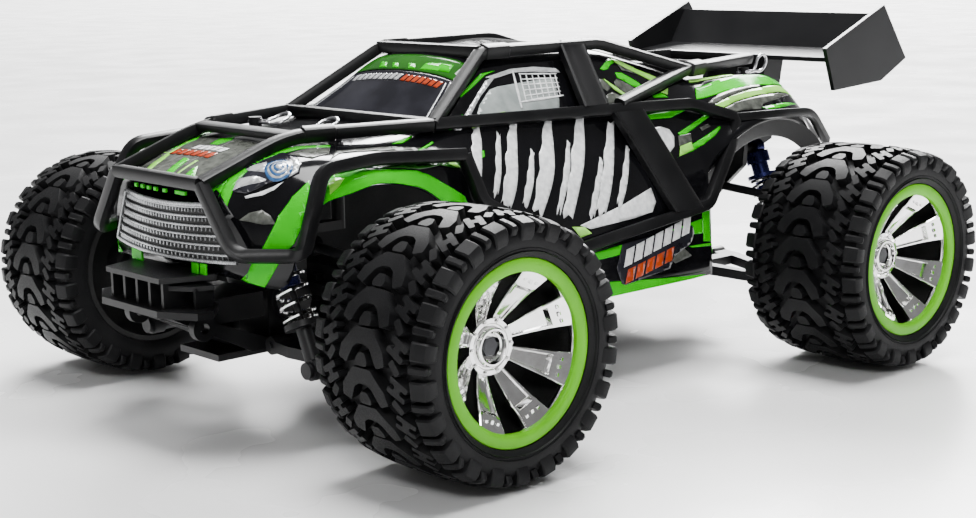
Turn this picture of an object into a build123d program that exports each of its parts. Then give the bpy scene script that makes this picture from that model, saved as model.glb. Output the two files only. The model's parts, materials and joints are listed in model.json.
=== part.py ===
"""Remote control off-road car, 1:10 truggy layout: shell, roll cage, chassis, suspension, wheels.

Millimetres, +Z up, z = 0 on the ground. The car's nose points to -Y and its left side to +X.
Parts are drawn in the car frame, whose y = 0 is halfway between the axles, and are written
moved by BOX_SHIFT_Y, which puts y = 0 in the middle of the overall length.
"""
import math
import os

from build123d import *

# ---------------------------------------------------------------- driving dimensions
WHEELBASE = 262.0
HALF_TRACK = 130.0          # wheel centre from the car's middle
TYRE_R = 54.0
TYRE_W = 66.0
RING_R = 37.2               # outside of the green bead ring
NOSE_Y = -205.2             # front edge of the bumper
TAIL_Y = 253.2              # rear corner of the wing end plates
BOX_SHIFT_Y = -(NOSE_Y + TAIL_Y) / 2

FRONT_Y = -WHEELBASE / 2
REAR_Y = WHEELBASE / 2
AXLE_Z = TYRE_R

# suspension pivots of the left side, (x, z)
ARM_IN = (24.0, 38.0)
ARM_OUT = (92.0, 33.0)
LINK_IN = (30.0, 80.0)
LINK_OUT = (98.0, 75.0)
KINGPIN_X = 100.0
PIN_R = 1.5
RUN = 0.05                  # radial running clearance of a hinge pin
OPEN = 0.8                  # radial clearance of an open pivot

# shock absorbers, (x, z) of the upper and lower eyes, and how far they stand from the axle
SHOCK_TOP = {"front": (32.0, 100.0), "rear": (41.0, 97.0)}
SHOCK_EYE_X = {"front": 62.0, "rear": 64.0}
SHOCK_OFF = {"front": -24.5, "rear": 27.0}
SPRING_R = 6.9              # middle of the wire
WIRE_R = 0.75
SPRING_TURNS = 6

# steering
RACK_OFF = 17.2             # rack and tie rods behind the front axle
RACK_Z = 56.0
RACK_HALF = 28.0            # tie rod pivot from the middle
STEER_ARM = (-2.0, 18.0)    # tie rod pin from the kingpin

# shell and cage
WALL = 1.6
TUBE_R = 2.5
TUBE_BEND = 4.5
ARCH_R = {"front": 57.5, "rear": 62.5}
POST_FRONT = (30.0, -117.0)
POST_REAR = (30.0, 161.0)
POST_R = 3.0
POST_HEIGHTS = {"front": (90.0, 131.0), "rear": (106.0, 139.4)}     # foot and top
CLIP_DROP = 2.4             # clip below the top of its post
CLIP_WIRE_R = 0.8
CLIP_BEND = 1.0

# chassis
FLOOR_Z = 33.0
FLOOR_T = 3.0
TUB_HALF = 34.0


def arm_point(x):
    """Point (x, z) on the line between the lower arm's two pivots."""
    rise = (ARM_OUT[1] - ARM_IN[1]) / (ARM_OUT[0] - ARM_IN[0])
    return (x, ARM_IN[1] + rise * (x - ARM_IN[0]))


SHOCK_EYE = {end: arm_point(x) for end, x in SHOCK_EYE_X.items()}


# ---------------------------------------------------------------- small builders
def box(x0, x1, y0, y1, z0, z1):
    """Box from its two corners."""
    size = (x1 - x0, y1 - y0, z1 - z0)
    middle = ((x0 + x1) / 2, (y0 + y1) / 2, (z0 + z1) / 2)
    return Pos(*middle) * Box(*size)


def rod(start, end, radius):
    """Cylinder from one point to another."""
    start, end = Vector(*start), Vector(*end)
    plane = Plane(origin=start, z_dir=end - start)
    return plane * Cylinder(radius, (end - start).length, align=(Align.CENTER, Align.CENTER, Align.MIN))


def bent_bar(points, radius, bend):
    """Round bar through the points, with a round bend at each inner one."""
    if len(points) == 2:
        return rod(*points, radius)
    path = FilletPolyline(*points, radius=bend)
    section = Plane(origin=path @ 0, z_dir=path % 0) * Circle(radius)
    return sweep(section, path=path)


def tube_run(points):
    """Bar of the roll cage."""
    return bent_bar(points, TUBE_R, TUBE_BEND)


def fuse(solids):
    """One solid out of several."""
    return Part() + solids


def side_plate(points, x0, x1):
    """Prism of a (y, z) outline between two x planes."""
    face = make_face(Polyline([(x0, y, z) for y, z in points], close=True))
    return extrude(face, amount=x1 - x0, dir=(1, 0, 0))


def flat_plate(points, z0, z1):
    """Prism of an (x, y) outline between two heights."""
    face = make_face(Polyline([(x, y, z0) for x, y in points], close=True))
    return extrude(face, amount=z1 - z0, dir=(0, 0, 1))


def cross_plate(points, y0, y1):
    """Prism of an (x, z) outline between two y planes."""
    face = make_face(Polyline([(x, y0, z) for x, z in points], close=True))
    return extrude(face, amount=y1 - y0, dir=(0, 1, 0))


def turned(points, angle=360.0):
    """Solid of revolution about X of an outline of (x, radius) points."""
    face = make_face(Polyline([(x, 0, r) for x, r in points], close=True))
    return revolve(face, Axis.X, angle)


def both_sides(shape):
    """A left-hand shape with its mirror image."""
    return [shape, mirror(shape, about=Plane.YZ)]


# ---------------------------------------------------------------- wheels (axle along X, outside at +X)
def tyre():
    half = TYRE_W / 2
    outside = [(-29.4, RING_R), (-31.5, 44), (-half, 49.5), (-29.5, 52.6), (-12, TYRE_R), (12, TYRE_R),
               (29.5, 52.6), (half, 49.5), (31.5, 44), (29.4, RING_R)]
    inside = [(26.4, RING_R), (28.0, 44), (28.0, 47), (12, 49.5), (-12, 49.5), (-28.0, 47), (-28.0, 44),
              (-26.4, RING_R)]
    return turned(outside + inside)


SPOKE_ANGLE = 29.0
SPOKES = 8


def rim():
    """Barrel, eight dished spokes and the hub boss of the chrome wheel."""
    barrel = turned([(-29.4, 34.6), (-29.4, RING_R - 0.1), (-26, RING_R - 0.1), (-25, 36.4), (25, 36.4),
                     (26.3, RING_R - 0.1), (26.3, 31.4), (24, 31.4), (22, 34.6)])
    hub = turned([(-8, 3.05), (-8, 9), (8, 11.0), (11, 11.0), (13, 9.0), (13, 5.2), (9, 5.2), (9, 3.05)])
    blade = turned([(0, 8), (10.5, 8), (22, 24), (26.3, 31.6), (22, 33.5), (14, 27), (2, 12)], SPOKE_ANGLE)
    first = blade.rotate(Axis.X, -SPOKE_ANGLE / 2 + 180.0 / SPOKES)
    spokes = [first.rotate(Axis.X, n * 360.0 / SPOKES) for n in range(SPOKES)]
    return fuse([barrel, hub] + spokes)


def bead_ring():
    return turned([(26.4, 31.3), (26.4, RING_R - 0.1), (29.0, RING_R - 0.1), (29.6, 36.4), (29.6, 32.0),
                   (29.0, 31.3)])


def hexagon(across_flats, x0, x1):
    face = Plane.YZ.offset(x0) * RegularPolygon(across_flats / 2, 6, major_radius=False)
    return extrude(face, amount=x1 - x0, dir=(1, 0, 0))


def axle_set():
    """Stub axle, drive hex and wheel nut."""
    axle = rod((-28, 0, 0), (12.5, 0, 0), 3.0)
    hex_drive = hexagon(12.0, -13.5, -8.2) - rod((-20, 0, 0), (0, 0, 0), 3.02)
    nut = hexagon(7.0, 9.1, 12.4) - rod((0, 0, 0), (20, 0, 0), 3.02)
    return [axle, hex_drive, nut]


def place_wheel(shape, end, side):
    """Put a wheel piece at its corner; the right side is the mirror image."""
    y = FRONT_Y if end == "front" else REAR_Y
    placed = Pos(HALF_TRACK, y, AXLE_Z) * shape
    return placed if side == "left" else mirror(placed, about=Plane.YZ)


# ---------------------------------------------------------------- suspension, left side, y from the axle
def lower_arm(end):
    """Arm with its hinge pins and the pin that carries the shock's lower eye."""
    length = math.dist(ARM_IN, ARM_OUT)
    slope = math.degrees(math.atan2(ARM_OUT[1] - ARM_IN[1], ARM_OUT[0] - ARM_IN[0]))
    off = SHOCK_OFF[end]
    sign = math.copysign(1, off)
    outline = [(0, -20), (12, -20), (length - 10, -5.9), (length, -5.9), (length, 5.9), (length - 10, 5.9),
               (12, 20), (0, 20)]
    window = [(14, -12), (40, -6.5), (40, 6.5), (14, 12)]
    arm = flat_plate(outline, -2.5, 2.5) - flat_plate(window, -4, 4)
    arm = fuse([arm, rod((0, -20, 0), (0, 20, 0), 4.0), rod((length, -6, 0), (length, 6, 0), 4.0)])
    arm -= box(-6, 7, -10, 10, -6, 6)
    eye_u = (SHOCK_EYE[end][0] - ARM_IN[0]) / math.cos(math.radians(slope))
    boss = rod((eye_u, sign * 8, 0), (eye_u, off - sign * 3.6, 0), 3.4)
    stud = rod((eye_u, sign * 8, 0), (eye_u, off + sign * 4.6, 0), PIN_R)
    head = rod((eye_u, off + sign * 3.6, 0), (eye_u, off + sign * 5.2, 0), 3.6)
    arm = fuse([arm, boss, stud, head])
    for u in (0, length):
        arm -= rod((u, -30, 0), (u, 30, 0), PIN_R + 0.02)
    pins = [rod((0, -21, 0), (0, 21, 0), PIN_R), rod((length, -10.5, 0), (length, 10.5, 0), PIN_R)]
    pieces = [Pos(ARM_IN[0], 0, ARM_IN[1]) * piece.rotate(Axis.Y, -slope) for piece in [arm] + pins]
    return pieces


def outer_lugs():
    """The two ears that hang a hub on the arm's outer pin."""
    x, z = ARM_OUT
    ears = []
    for y0, y1 in ((-10, -6.4), (6.4, 10)):
        ears.append(box(x - 4, x + 6, y0, y1, z - 4, z + 8))
    lugs = fuse(ears + [box(x - 5, x + 14, -10, 10, z + 4.6, z + 8)])
    return lugs


def link_ear():
    """Ear and pin above a hub that take the upper link's outer end."""
    x, z = LINK_OUT
    ear = box(x - 4, x + 4, 3.2, 6.5, z - 5, z + 4)
    return [ear, rod((x, 6, z), (x, -4, z), PIN_R), rod((x, -3.6, z), (x, -5, z), 3.2)]


def c_hub():
    """C-shaped block between the arm, the upper link and the steering knuckle."""
    x = ARM_OUT[0]
    web = box(x - 6, x - 2.6, -8, 8, ARM_OUT[1] + 4.6, 70.4)
    top = box(x - 6, KINGPIN_X + 6, -8, 8, 67, 70.4)
    pins = [rod((KINGPIN_X, 0, 40), (KINGPIN_X, 0, 45), 2.0), rod((KINGPIN_X, 0, 63), (KINGPIN_X, 0, 68), 2.0)]
    hub = fuse([outer_lugs(), web, top] + pins + link_ear())
    return hub - rod((x, -12, ARM_OUT[1]), (x, 12, ARM_OUT[1]), PIN_R + RUN)


def knuckle():
    """Steering block with the axle bearing and the steering arm."""
    block = box(KINGPIN_X - 5.5, KINGPIN_X + 14, -6.5, 6.5, 41.5, 66.5)
    arm = box(KINGPIN_X - 5.5, KINGPIN_X + 1.5, 5, STEER_ARM[1] + 3.5, 48.5, 52.5)
    pin_x, pin_y = KINGPIN_X + STEER_ARM[0], STEER_ARM[1]
    ball_pin = rod((pin_x, pin_y, 52), (pin_x, pin_y, 60.6), 1.2)
    cap = rod((pin_x, pin_y, 59.8), (pin_x, pin_y, 61.2), 4.0)
    body = fuse([block, arm, ball_pin, cap])
    body -= rod((KINGPIN_X - 3, 0, AXLE_Z), (KINGPIN_X + 20, 0, AXLE_Z), 3.0 + RUN)
    body -= rod((KINGPIN_X, 0, 41), (KINGPIN_X, 0, 45.4), 2.0 + RUN)
    body -= rod((KINGPIN_X, 0, 62.6), (KINGPIN_X, 0, 67), 2.0 + RUN)
    return body


def hub_carrier():
    """Rear upright: ears, axle bearing housing and link ear."""
    x = ARM_OUT[0]
    housing = box(x - 6, x + 22, -8, 8, ARM_OUT[1] + 4.6, 70.4)
    carrier = fuse([outer_lugs(), housing] + link_ear())
    carrier -= rod((x - 10, 0, AXLE_Z), (x + 30, 0, AXLE_Z), 3.0 + RUN)
    return carrier - rod((x, -12, ARM_OUT[1]), (x, 12, ARM_OUT[1]), PIN_R + RUN)


def eyed_bar(start, end, bar_r, width, bore_start, bore_end):
    """Bar along X and Z with an eye about Y at each end."""
    (x0, z0), (x1, z1) = start, end
    half = width / 2
    solids = [rod((x, -half, z), (x, half, z), 4.2) for x, z in (start, end)]
    bar = fuse(solids + [rod((x0, 0, z0), (x1, 0, z1), bar_r)])
    bar -= rod((x0, -9, z0), (x0, 9, z0), bore_start)
    return bar - rod((x1, -9, z1), (x1, 9, z1), bore_end)


def upper_link():
    return eyed_bar(LINK_IN, LINK_OUT, 2.2, 5.0, PIN_R + RUN, PIN_R + OPEN)


def tie_rod():
    """Tie rod, y from the rack, with a flat outer eye about Z."""
    x1 = KINGPIN_X + STEER_ARM[0]
    inner = rod((RACK_HALF, -2.4, RACK_Z), (RACK_HALF, 2.4, RACK_Z), 3.6)
    outer = rod((x1, 0, RACK_Z - 2.1), (x1, 0, RACK_Z + 2.1), 5.4)
    bar = fuse([inner, outer, rod((RACK_HALF, 0, RACK_Z), (x1, 0, RACK_Z), 1.8)])
    bar -= rod((RACK_HALF, -9, RACK_Z), (RACK_HALF, 9, RACK_Z), PIN_R + RUN)
    return bar - rod((x1, 0, RACK_Z - 6), (x1, 0, RACK_Z + 6), 3.4)


def shock_frame(end):
    """Length of the shock, and the turn and move that lay it from its upper to its lower eye."""
    (x0, z0), (x1, z1) = SHOCK_TOP[end], SHOCK_EYE[end]
    length = math.dist((x0, z0), (x1, z1))
    lean = math.degrees(math.atan2(x1 - x0, z0 - z1))
    return length, Pos(x0, SHOCK_OFF[end], z0) * Rot(0, -lean, 0)


SPRING_TOP = 17.0           # below the upper eye
SPRING_FOOT = 20.5          # above the lower eye


def shock_body(end):
    """Damper cylinder with its cap, spring collar and upper eye, drawn downwards from the eye."""
    length, place = shock_frame(end)
    eye = rod((0, -3, 0), (0, 3, 0), 4.5)
    cap = rod((0, 0, -3), (0, 0, -9), 6.4)
    barrel = rod((0, 0, -8), (0, 0, 36 - length), 4.6)
    collar = rod((0, 0, 2 - SPRING_TOP), (0, 0, -SPRING_TOP), 8.0)
    body = fuse([eye, cap, barrel, collar])
    body -= rod((0, -9, 0), (0, 9, 0), PIN_R + RUN)
    body -= rod((0, 0, -10.5), (0, 0, -length), 2.0)
    return place * body


def shock_shaft(end):
    """Piston rod with the spring cup and the lower eye."""
    length, place = shock_frame(end)
    top = -length
    shaft = rod((0, 0, top + 3), (0, 0, -22), 1.5)
    cup = rod((0, 0, top + SPRING_FOOT - 2.5), (0, 0, top + SPRING_FOOT), 7.8)
    cone = rod((0, 0, top + 4), (0, 0, top + SPRING_FOOT - 2), 3.4)
    eye = rod((0, -3, top), (0, 3, top), 4.5)
    body = fuse([shaft, cup, cone, eye])
    return place * (body - rod((0, -9, top), (0, 9, top), PIN_R + OPEN))


def shock_spring(end):
    length, place = shock_frame(end)
    low = SPRING_FOOT + WIRE_R + 0.15 - length
    high = -SPRING_TOP - WIRE_R - 0.15
    path = Helix(pitch=(high - low) / SPRING_TURNS, height=high - low, radius=SPRING_R)
    section = Plane(origin=path @ 0, z_dir=path % 0) * Circle(WIRE_R)
    return place * Pos(0, 0, low) * sweep(section, path=path, is_frenet=True)


# ---------------------------------------------------------------- chassis
def chassis_tub():
    """Floor with side walls, kicked-up nose and the brackets of the lower arms."""
    top = FLOOR_Z + FLOOR_T
    floor = box(-TUB_HALF, TUB_HALF, -108, 108, FLOOR_Z, top)
    walls = [w for x in (TUB_HALF - 2.5,) for w in both_sides(box(x, x + 2.5, -78, 92, FLOOR_Z, 46))]
    ends = [box(-15, 15, y0, y1, FLOOR_Z, top) for y0, y1 in ((-172, -100), (100, 166))]
    brackets = []
    for y in (FRONT_Y, REAR_Y):
        bracket = box(12, ARM_IN[0] + 4.2, y - 9.7, y + 9.7, FLOOR_Z, ARM_IN[1] + 4.2)
        bracket -= rod((ARM_IN[0], y - 12, ARM_IN[1]), (ARM_IN[0], y + 12, ARM_IN[1]), PIN_R + RUN)
        brackets += both_sides(bracket)
    tub = fuse([floor] + walls + ends + brackets)
    return tub - box(19.4, 24.6, -44.5, -31.5, FLOOR_Z - 1, top + 1)


def gearbox_cases():
    """Front and rear gear cases on the tub ends."""
    low = FLOOR_Z + FLOOR_T
    front = box(-11.5, 11.5, FRONT_Y - 11.9, FRONT_Y + 10, low, 72)
    rear = box(-11.5, 11.5, REAR_Y - 15, REAR_Y + 11.9, low, 76)
    domes = [rod((-15, y, AXLE_Z), (15, y, AXLE_Z), 9.5) for y in (FRONT_Y, REAR_Y)]
    return [fuse([front, domes[0]]), fuse([rear, domes[1]])]


def tower(end):
    """Shock tower with shock pins, link pins and the two body posts."""
    sign = -1 if end == "front" else 1
    axle = FRONT_Y if end == "front" else REAR_Y
    near, far = axle + sign * 12.0, axle + sign * 15.2
    (top_x, top_z) = SHOCK_TOP[end]
    outline = [(-14, 60), (14, 60), (top_x + 4, top_z - 8), (top_x + 5, top_z + 5), (-top_x - 5, top_z + 5),
               (-top_x - 4, top_z - 8)]
    plate = cross_plate(outline, min(near, far), max(near, far))
    plate -= box(-12, 12, axle - 40, axle + 40, 76, 98)
    solids = [plate]
    shock_y = axle + SHOCK_OFF[end]
    for side in (1, -1):
        x = side * top_x
        solids.append(rod((x, near, top_z), (x, shock_y - sign * 3.5, top_z), 2.5))
        solids.append(rod((x, near, top_z), (x, shock_y + sign * 5, top_z), PIN_R))
        solids.append(rod((x, shock_y + sign * 3.4, top_z), (x, shock_y + sign * 5.2, top_z), 2.6))
        link_x = side * LINK_IN[0]
        solids.append(rod((link_x, far, LINK_IN[1]), (link_x, axle + sign * 2.9, LINK_IN[1]), 3.0))
        solids.append(rod((link_x, far, LINK_IN[1]), (link_x, axle - sign * 4, LINK_IN[1]), PIN_R))
        solids.append(body_post(end, side, near))
    return fuse(solids)


def body_post(end, side, near):
    """Post that carries the shell, on an arm from the tower."""
    x, y = POST_FRONT if end == "front" else POST_REAR
    foot, top = POST_HEIGHTS[end]
    x *= side
    arm = box(x - 3, x + 3, min(near, y), max(near, y), foot - 4, foot)
    arm_root = box(x - 3, x + 3, min(near, near + math.copysign(3, y)), max(near, near + math.copysign(3, y)),
                   foot - 10, foot)
    post = rod((x, y, foot - 4), (x, y, top), POST_R)
    hole = clip_hole(end, x, y, top)
    return fuse([arm, arm_root, post]) - hole


def clip_hole(end, x, y, top):
    """Cross hole of a body post, where the clip's straight leg goes through."""
    reach = 5.0
    z = top - CLIP_DROP
    if end == "front":
        return rod((x - reach, y, z), (x + reach, y, z), CLIP_WIRE_R + 0.2)
    return rod((x, y - reach, z), (x, y + reach, z), CLIP_WIRE_R + 0.2)


def front_bumper():
    """Two plates joined by ribs, a slanted skid and the block that fixes it to the tub."""
    top = flat_plate([(-21, -203), (21, -203), (29, -181), (-29, -181)], 72.3, 74.6)
    low = flat_plate([(-22, NOSE_Y), (22, NOSE_Y), (38, -196), (38, -188), (26, -178), (-26, -178),
                      (-38, -188), (-38, -196)], 58.5, 61.5)
    ribs = [box(x - 0.9, x + 0.9, -201, -180, 60, 73) for x in (-20, -10, 0, 10, 20)]
    steps = both_sides(flat_plate([(20, -199), (30, -193), (33, -184), (24, -182)], 69, 71))
    step_ribs = both_sides(box(29, 30.8, -192, -183, 60, 70))
    skid = side_plate([(-198, 57), (-194, 59), (-150, 41), (-150, 36.1), (-158, 36.1)], -20, 20)
    skid -= side_plate([(-182, 60), (-150, 60), (-150, 44), (-158, 41)], -15.5, 15.5)
    eyes = [rod((s * 23.5, -186, 52), (s * 27.5, -186, 52), 5.5) for s in (1, -1)]
    eyes += [box(s * 25.5 - 2, s * 25.5 + 2, -190, -182, 52, 60) for s in (1, -1)]
    mount = box(-17, 17, -180, -149, 50, 61)
    bumper = fuse([top, low, skid, mount] + ribs + steps + step_ribs + eyes)
    return bumper - rod((-40, -186, 52), (40, -186, 52), 2.2)


def drive_motors():
    """Two can motors side by side ahead of the rear gear case."""
    cans = []
    for side in (1, -1):
        can = rod((side * 15.2, 62, 51), (side * 15.2, 109.5, 51), 13.8)
        boss = rod((side * 7.5, 108, 51), (side * 7.5, 115.8, 51), 3.5)
        cans.append(fuse([can, boss]))
    return cans


def battery_pack():
    pack = box(-25, 25, -24, 60, 36.3, 58)
    return fillet(pack.edges().filter_by(Axis.Y), 3.0)


def steering_servo():
    """Servo with the channel that guides the rack."""
    y0 = FRONT_Y + RACK_OFF + 3.2
    case = box(-14, 22, y0, y0 + 22, 36.2, 66)
    lips = [box(-10, 10, y0 - 4.5, y0 + 1, RACK_Z + 3.0, RACK_Z + 6.0),
            box(-10, 10, y0 - 4.5, y0 + 1, RACK_Z - 6.0, RACK_Z - 3.0)]
    return fuse([case] + lips)


def steering_rack():
    """Bar between the tie rods, with its two end pins."""
    y = FRONT_Y + RACK_OFF
    low, high = RACK_Z - 2.6, RACK_Z + 2.6
    inner = RACK_HALF - 4.2
    solids = [box(-inner, inner, y - 2.6, y + 2.6, low, high)]
    solids.append(box(-RACK_HALF - 3, RACK_HALF + 3, y - 5.4, y - 2.8, low, high)
                  - box(5 - inner, inner - 5, y - 6, y - 2, low - 1, high + 1))
    solids += both_sides(box(inner - 5, inner, y - 5.4, y - 2.0, low, high))
    solids += both_sides(rod((RACK_HALF, y - 4, RACK_Z), (RACK_HALF, y + 2.8, RACK_Z), PIN_R))
    return fuse(solids)


def power_switch():
    """Slider in the floor's slot, with a flange above the floor."""
    knob = box(20, 24, -44, -38, FLOOR_Z - 1.6, FLOOR_Z + FLOOR_T + 0.6)
    flange = box(18, 26, -46, -36, FLOOR_Z + FLOOR_T + 0.3, FLOOR_Z + FLOOR_T + 1.6)
    return fuse([knob, flange])


def clip_points(reach=17.0, ring=4.6, steps=10):
    """Plan outline of a spring clip: straight leg, round head, humped leg."""
    points = [(-5.0, 0.0), (reach - ring * 2, 0.0)]
    centre = (reach - ring, 2.2)
    for n in range(steps + 1):
        angle = math.radians(-150 + 300 * n / steps)
        points.append((centre[0] + ring * math.cos(angle), centre[1] + ring * math.sin(angle)))
    points += [(reach - ring * 2 - 2, 3.0), (2.5, 4.6), (-1.0, 4.2), (-4.0, 6.4)]
    return points


def body_clips():
    """Four bent wire clips through the heads of the body posts."""
    x, y = POST_FRONT
    z = POST_HEIGHTS["front"][1] - CLIP_DROP
    front = [(x - u, y + v, z) for u, v in clip_points()]
    x, y = POST_REAR
    z = POST_HEIGHTS["rear"][1] - CLIP_DROP
    rear = [(x + v, y + u, z) for u, v in clip_points()]
    return [clip for line in (front, rear) for clip in both_sides(bent_bar(line, CLIP_WIRE_R, CLIP_BEND))]


# ---------------------------------------------------------------- shell
# Half outlines across the shell, (x, z), from the lower edge over the shoulder to the top middle.
SHELL_STATIONS = [
    (-190.0, [(49, 75), (49, 82), (45, 92), (33, 107), (30, 108.5), (0, 110)]),
    (-178.0, [(59, 71), (61.5, 84), (58, 103), (43, 112), (33, 113), (0, 114.5)]),
    (-169.0, [(62, 72), (67, 90), (64, 109), (46, 115.5), (33, 116.5), (0, 118.5)]),
    (-146.0, [(62, 78), (70, 96), (68, 111), (44, 122.5), (34, 124), (0, 126)]),
    (-120.0, [(62, 78), (75, 103), (72, 113.5), (50, 123.5), (38, 125.5), (0, 128)]),
    (-82.0, [(64, 62), (74, 100), (69, 115), (55, 125), (49, 126.5), (0, 129)]),
    (-62.0, [(70, 50), (74, 92), (67, 116), (55, 126), (44, 134), (0, 140)]),
    (-37.0, [(77, 43), (74, 80), (65, 118), (55, 126.5), (34, 153), (0, 158)]),
    (-15.0, [(78, 43), (75, 68), (65, 120), (56, 126.5), (35, 155), (0, 161.5)]),
    (38.0, [(78, 43), (75, 70), (66, 120), (58, 126), (36, 155), (0, 158)]),
    (80.0, [(78, 43), (74, 76), (66, 116), (58, 124.5), (38, 145), (0, 147)]),
    (84.0, [(62, 80), (73, 90), (66, 115), (58, 124.5), (38, 143.5), (0, 145)]),
    (104.0, [(58, 88), (74, 110), (66, 119), (58, 129), (42.5, 137), (0, 134.5)]),
    (131.0, [(58, 96), (74.5, 119), (66, 127), (60, 133), (48, 138.5), (0, 129.5)]),
    (150.0, [(58, 97), (73, 116), (65, 125), (59, 131), (49, 137.3), (0, 128.7)]),
    (163.0, [(58, 98), (71, 108), (64, 118), (57, 128), (48, 133.5), (0, 127.5)]),
    (174.0, [(58, 98), (67.5, 102), (61, 113), (55, 122), (47, 126), (0, 123)]),
    (190.0, [(56, 98.5), (61, 101), (57, 105), (53, 107.5), (46, 110), (0, 111.5)]),
]


FENDER_FRONT_Y = -169.5      # the fender comes down ahead of the front wheel up to here


def shell_outline(y, points, inset):
    """Closed wire of one station, drawn in by the wall for the hollow."""
    half = []
    for number, (x, z) in enumerate(points):
        if inset and number == 0:
            half.append((x - inset, z - 20))
        else:
            half.append((max(x - inset, 0), z - inset))
    ring = half + [(-x, z) for x, z in reversed(half) if x > 0]
    return Polyline([(x, y, z) for x, z in ring], close=True)


def shell_loft(inset):
    stations = list(SHELL_STATIONS)
    if inset:
        stations[0] = (stations[0][0] + inset, stations[0][1])
        stations[-1] = (stations[-1][0] - inset, stations[-1][1])
    spans = []
    for (y0, a), (y1, b) in zip(stations, stations[1:]):
        faces = [make_face(shell_outline(y0, a, inset)), make_face(shell_outline(y1, b, inset))]
        spans.append(loft(faces, ruled=True))
    return fuse(spans)


def body_shell():
    """Thin moulding, open below, with four wheel arches and holes for the posts and the wing mount."""
    shell = shell_loft(0) - shell_loft(WALL)
    for end, y in (("front", FRONT_Y), ("rear", REAR_Y)):
        for side in (1, -1):
            arch = rod((side * 40, y, AXLE_Z), (side * 95, y, AXLE_Z), ARCH_R[end])
            shell -= arch - box(-100, 100, NOSE_Y, FENDER_FRONT_Y, 0, 120)
    for x, y in (POST_FRONT, POST_REAR):
        for side in (1, -1):
            shell -= rod((side * x, y, 100), (side * x, y, 150), POST_R + 0.5)
    shell -= box(-27, 27, 172, 200, 60, 124)
    return shell


# ---------------------------------------------------------------- roll cage, left side points
HOOD_CORNER = (32.6, -188.0, 113.1)
HOOP_LOW = (52.9, -187.2, 86.0)
HOOP_BACK = (66.0, -167.0, 83.0)
FENDER_FRONT = (68.0, -147.0, 117.5)
FENDER_REAR = (72.0, -79.0, 119.0)
COLLAR = (32.9, -144.3, 129.1)
COWL = (53.1, -81.5, 130.0)
ROOF_FRONT = (36.1, -36.9, 158.5)
ROOF_REAR = (38.0, 38.0, 159.0)
REAR_JOINT = (42.0, 100.0, 142.5)
TAIL_END = (28.0, 168.0, 144.0)
BELT_MIDDLE = (60.0, 14.0, 129.0)
BELT_REAR = (62.0, 80.0, 127.5)
BELT_END = (69.0, 108.0, 119.0)
SILL_REAR = (78.5, 80.0, 79.0)
SILL_MIDDLE = (78.5, 32.0, 74.5)
SILL_FRONT = (78.5, -17.0, 69.0)
STRAP_HALF = 8.0            # flat B-pillar bars


def across(point):
    """The same point on the right-hand side."""
    return (-point[0], point[1], point[2])


def collar_sleeve(start, end, length=11.0, radius=3.7):
    """Sleeve round a tube, from start towards end."""
    a, b = Vector(*start), Vector(*end)
    return rod(tuple(a), tuple(a + (b - a).normalized() * length), radius)


def strap(start, end, half_width, thickness):
    """Flat bar between two points of the left side; its width runs along Y."""
    a, b = Vector(*start), Vector(*end)
    out = Vector(0, 1, 0).cross(b - a).normalized()
    out = out if out.X > 0 else -out
    corners = [a - Vector(0, half_width, 0), a + Vector(0, half_width, 0), b + Vector(0, half_width, 0),
               b - Vector(0, half_width, 0)]
    face = make_face(Polyline([tuple(c - out * (thickness / 2)) for c in corners], close=True))
    return extrude(face, amount=thickness, dir=tuple(out))


def cage_front():
    """Hood frame with the front hoops and the bars over the front fenders."""
    left = [tube_run([HOOD_CORNER, COLLAR, COWL]),
            tube_run([HOOD_CORNER, HOOP_LOW, HOOP_BACK, FENDER_FRONT, FENDER_REAR]),
            collar_sleeve(COLLAR, HOOD_CORNER), collar_sleeve(COLLAR, COWL)]
    cross = [tube_run([HOOD_CORNER, across(HOOD_CORNER)]), tube_run([COLLAR, across(COLLAR)])]
    return fuse([shape for piece in left for shape in both_sides(piece)] + cross)


def cage_cabin():
    """Windscreen frame, roof rails and the slanted rear bars."""
    after_cowl = Vector(*COWL) + (Vector(*ROOF_FRONT) - Vector(*COWL)).normalized() * 2 * TUBE_R
    left = [tube_run([tuple(after_cowl), ROOF_FRONT, ROOF_REAR, REAR_JOINT]),
            collar_sleeve(ROOF_FRONT, COWL), collar_sleeve(ROOF_FRONT, ROOF_REAR),
            tube_run([(60.5, 30, 131.5), REAR_JOINT]),
            strap((38, 20, 159.5), (60, 16, 131.5), STRAP_HALF, 3.0)]
    cross = [tube_run([ROOF_FRONT, across(ROOF_FRONT)]),
             tube_run([REAR_JOINT, across(REAR_JOINT)])]
    return fuse([shape for piece in left for shape in both_sides(piece)] + cross)


def cage_sides():
    """One frame on each side: belt rail, sill rail, uprights and the lower flat bar."""
    start = (COWL[0] + 1.0, COWL[1] + 6.5, COWL[2])
    left = fuse([tube_run([start, BELT_MIDDLE, BELT_REAR, BELT_END, SILL_REAR, SILL_MIDDLE, SILL_FRONT,
                           (FENDER_REAR[0] + 0.6, FENDER_REAR[1] + 7.0, FENDER_REAR[2] - 6.0)]),
                 strap((64, 40, 127), (79, 57, 78.5), STRAP_HALF, 3.0)])
    return both_sides(left)


def cage_rear():
    """Tail bars that run back from the cabin frame to the rear body posts."""
    joint = Vector(*REAR_JOINT)
    start = joint + (Vector(*TAIL_END) - joint).normalized() * 2 * TUBE_R
    tails = both_sides(fuse([tube_run([tuple(start), TAIL_END]),
                             collar_sleeve(tuple(start), TAIL_END)]))
    return fuse(tails + [tube_run([TAIL_END, across(TAIL_END)])])


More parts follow.
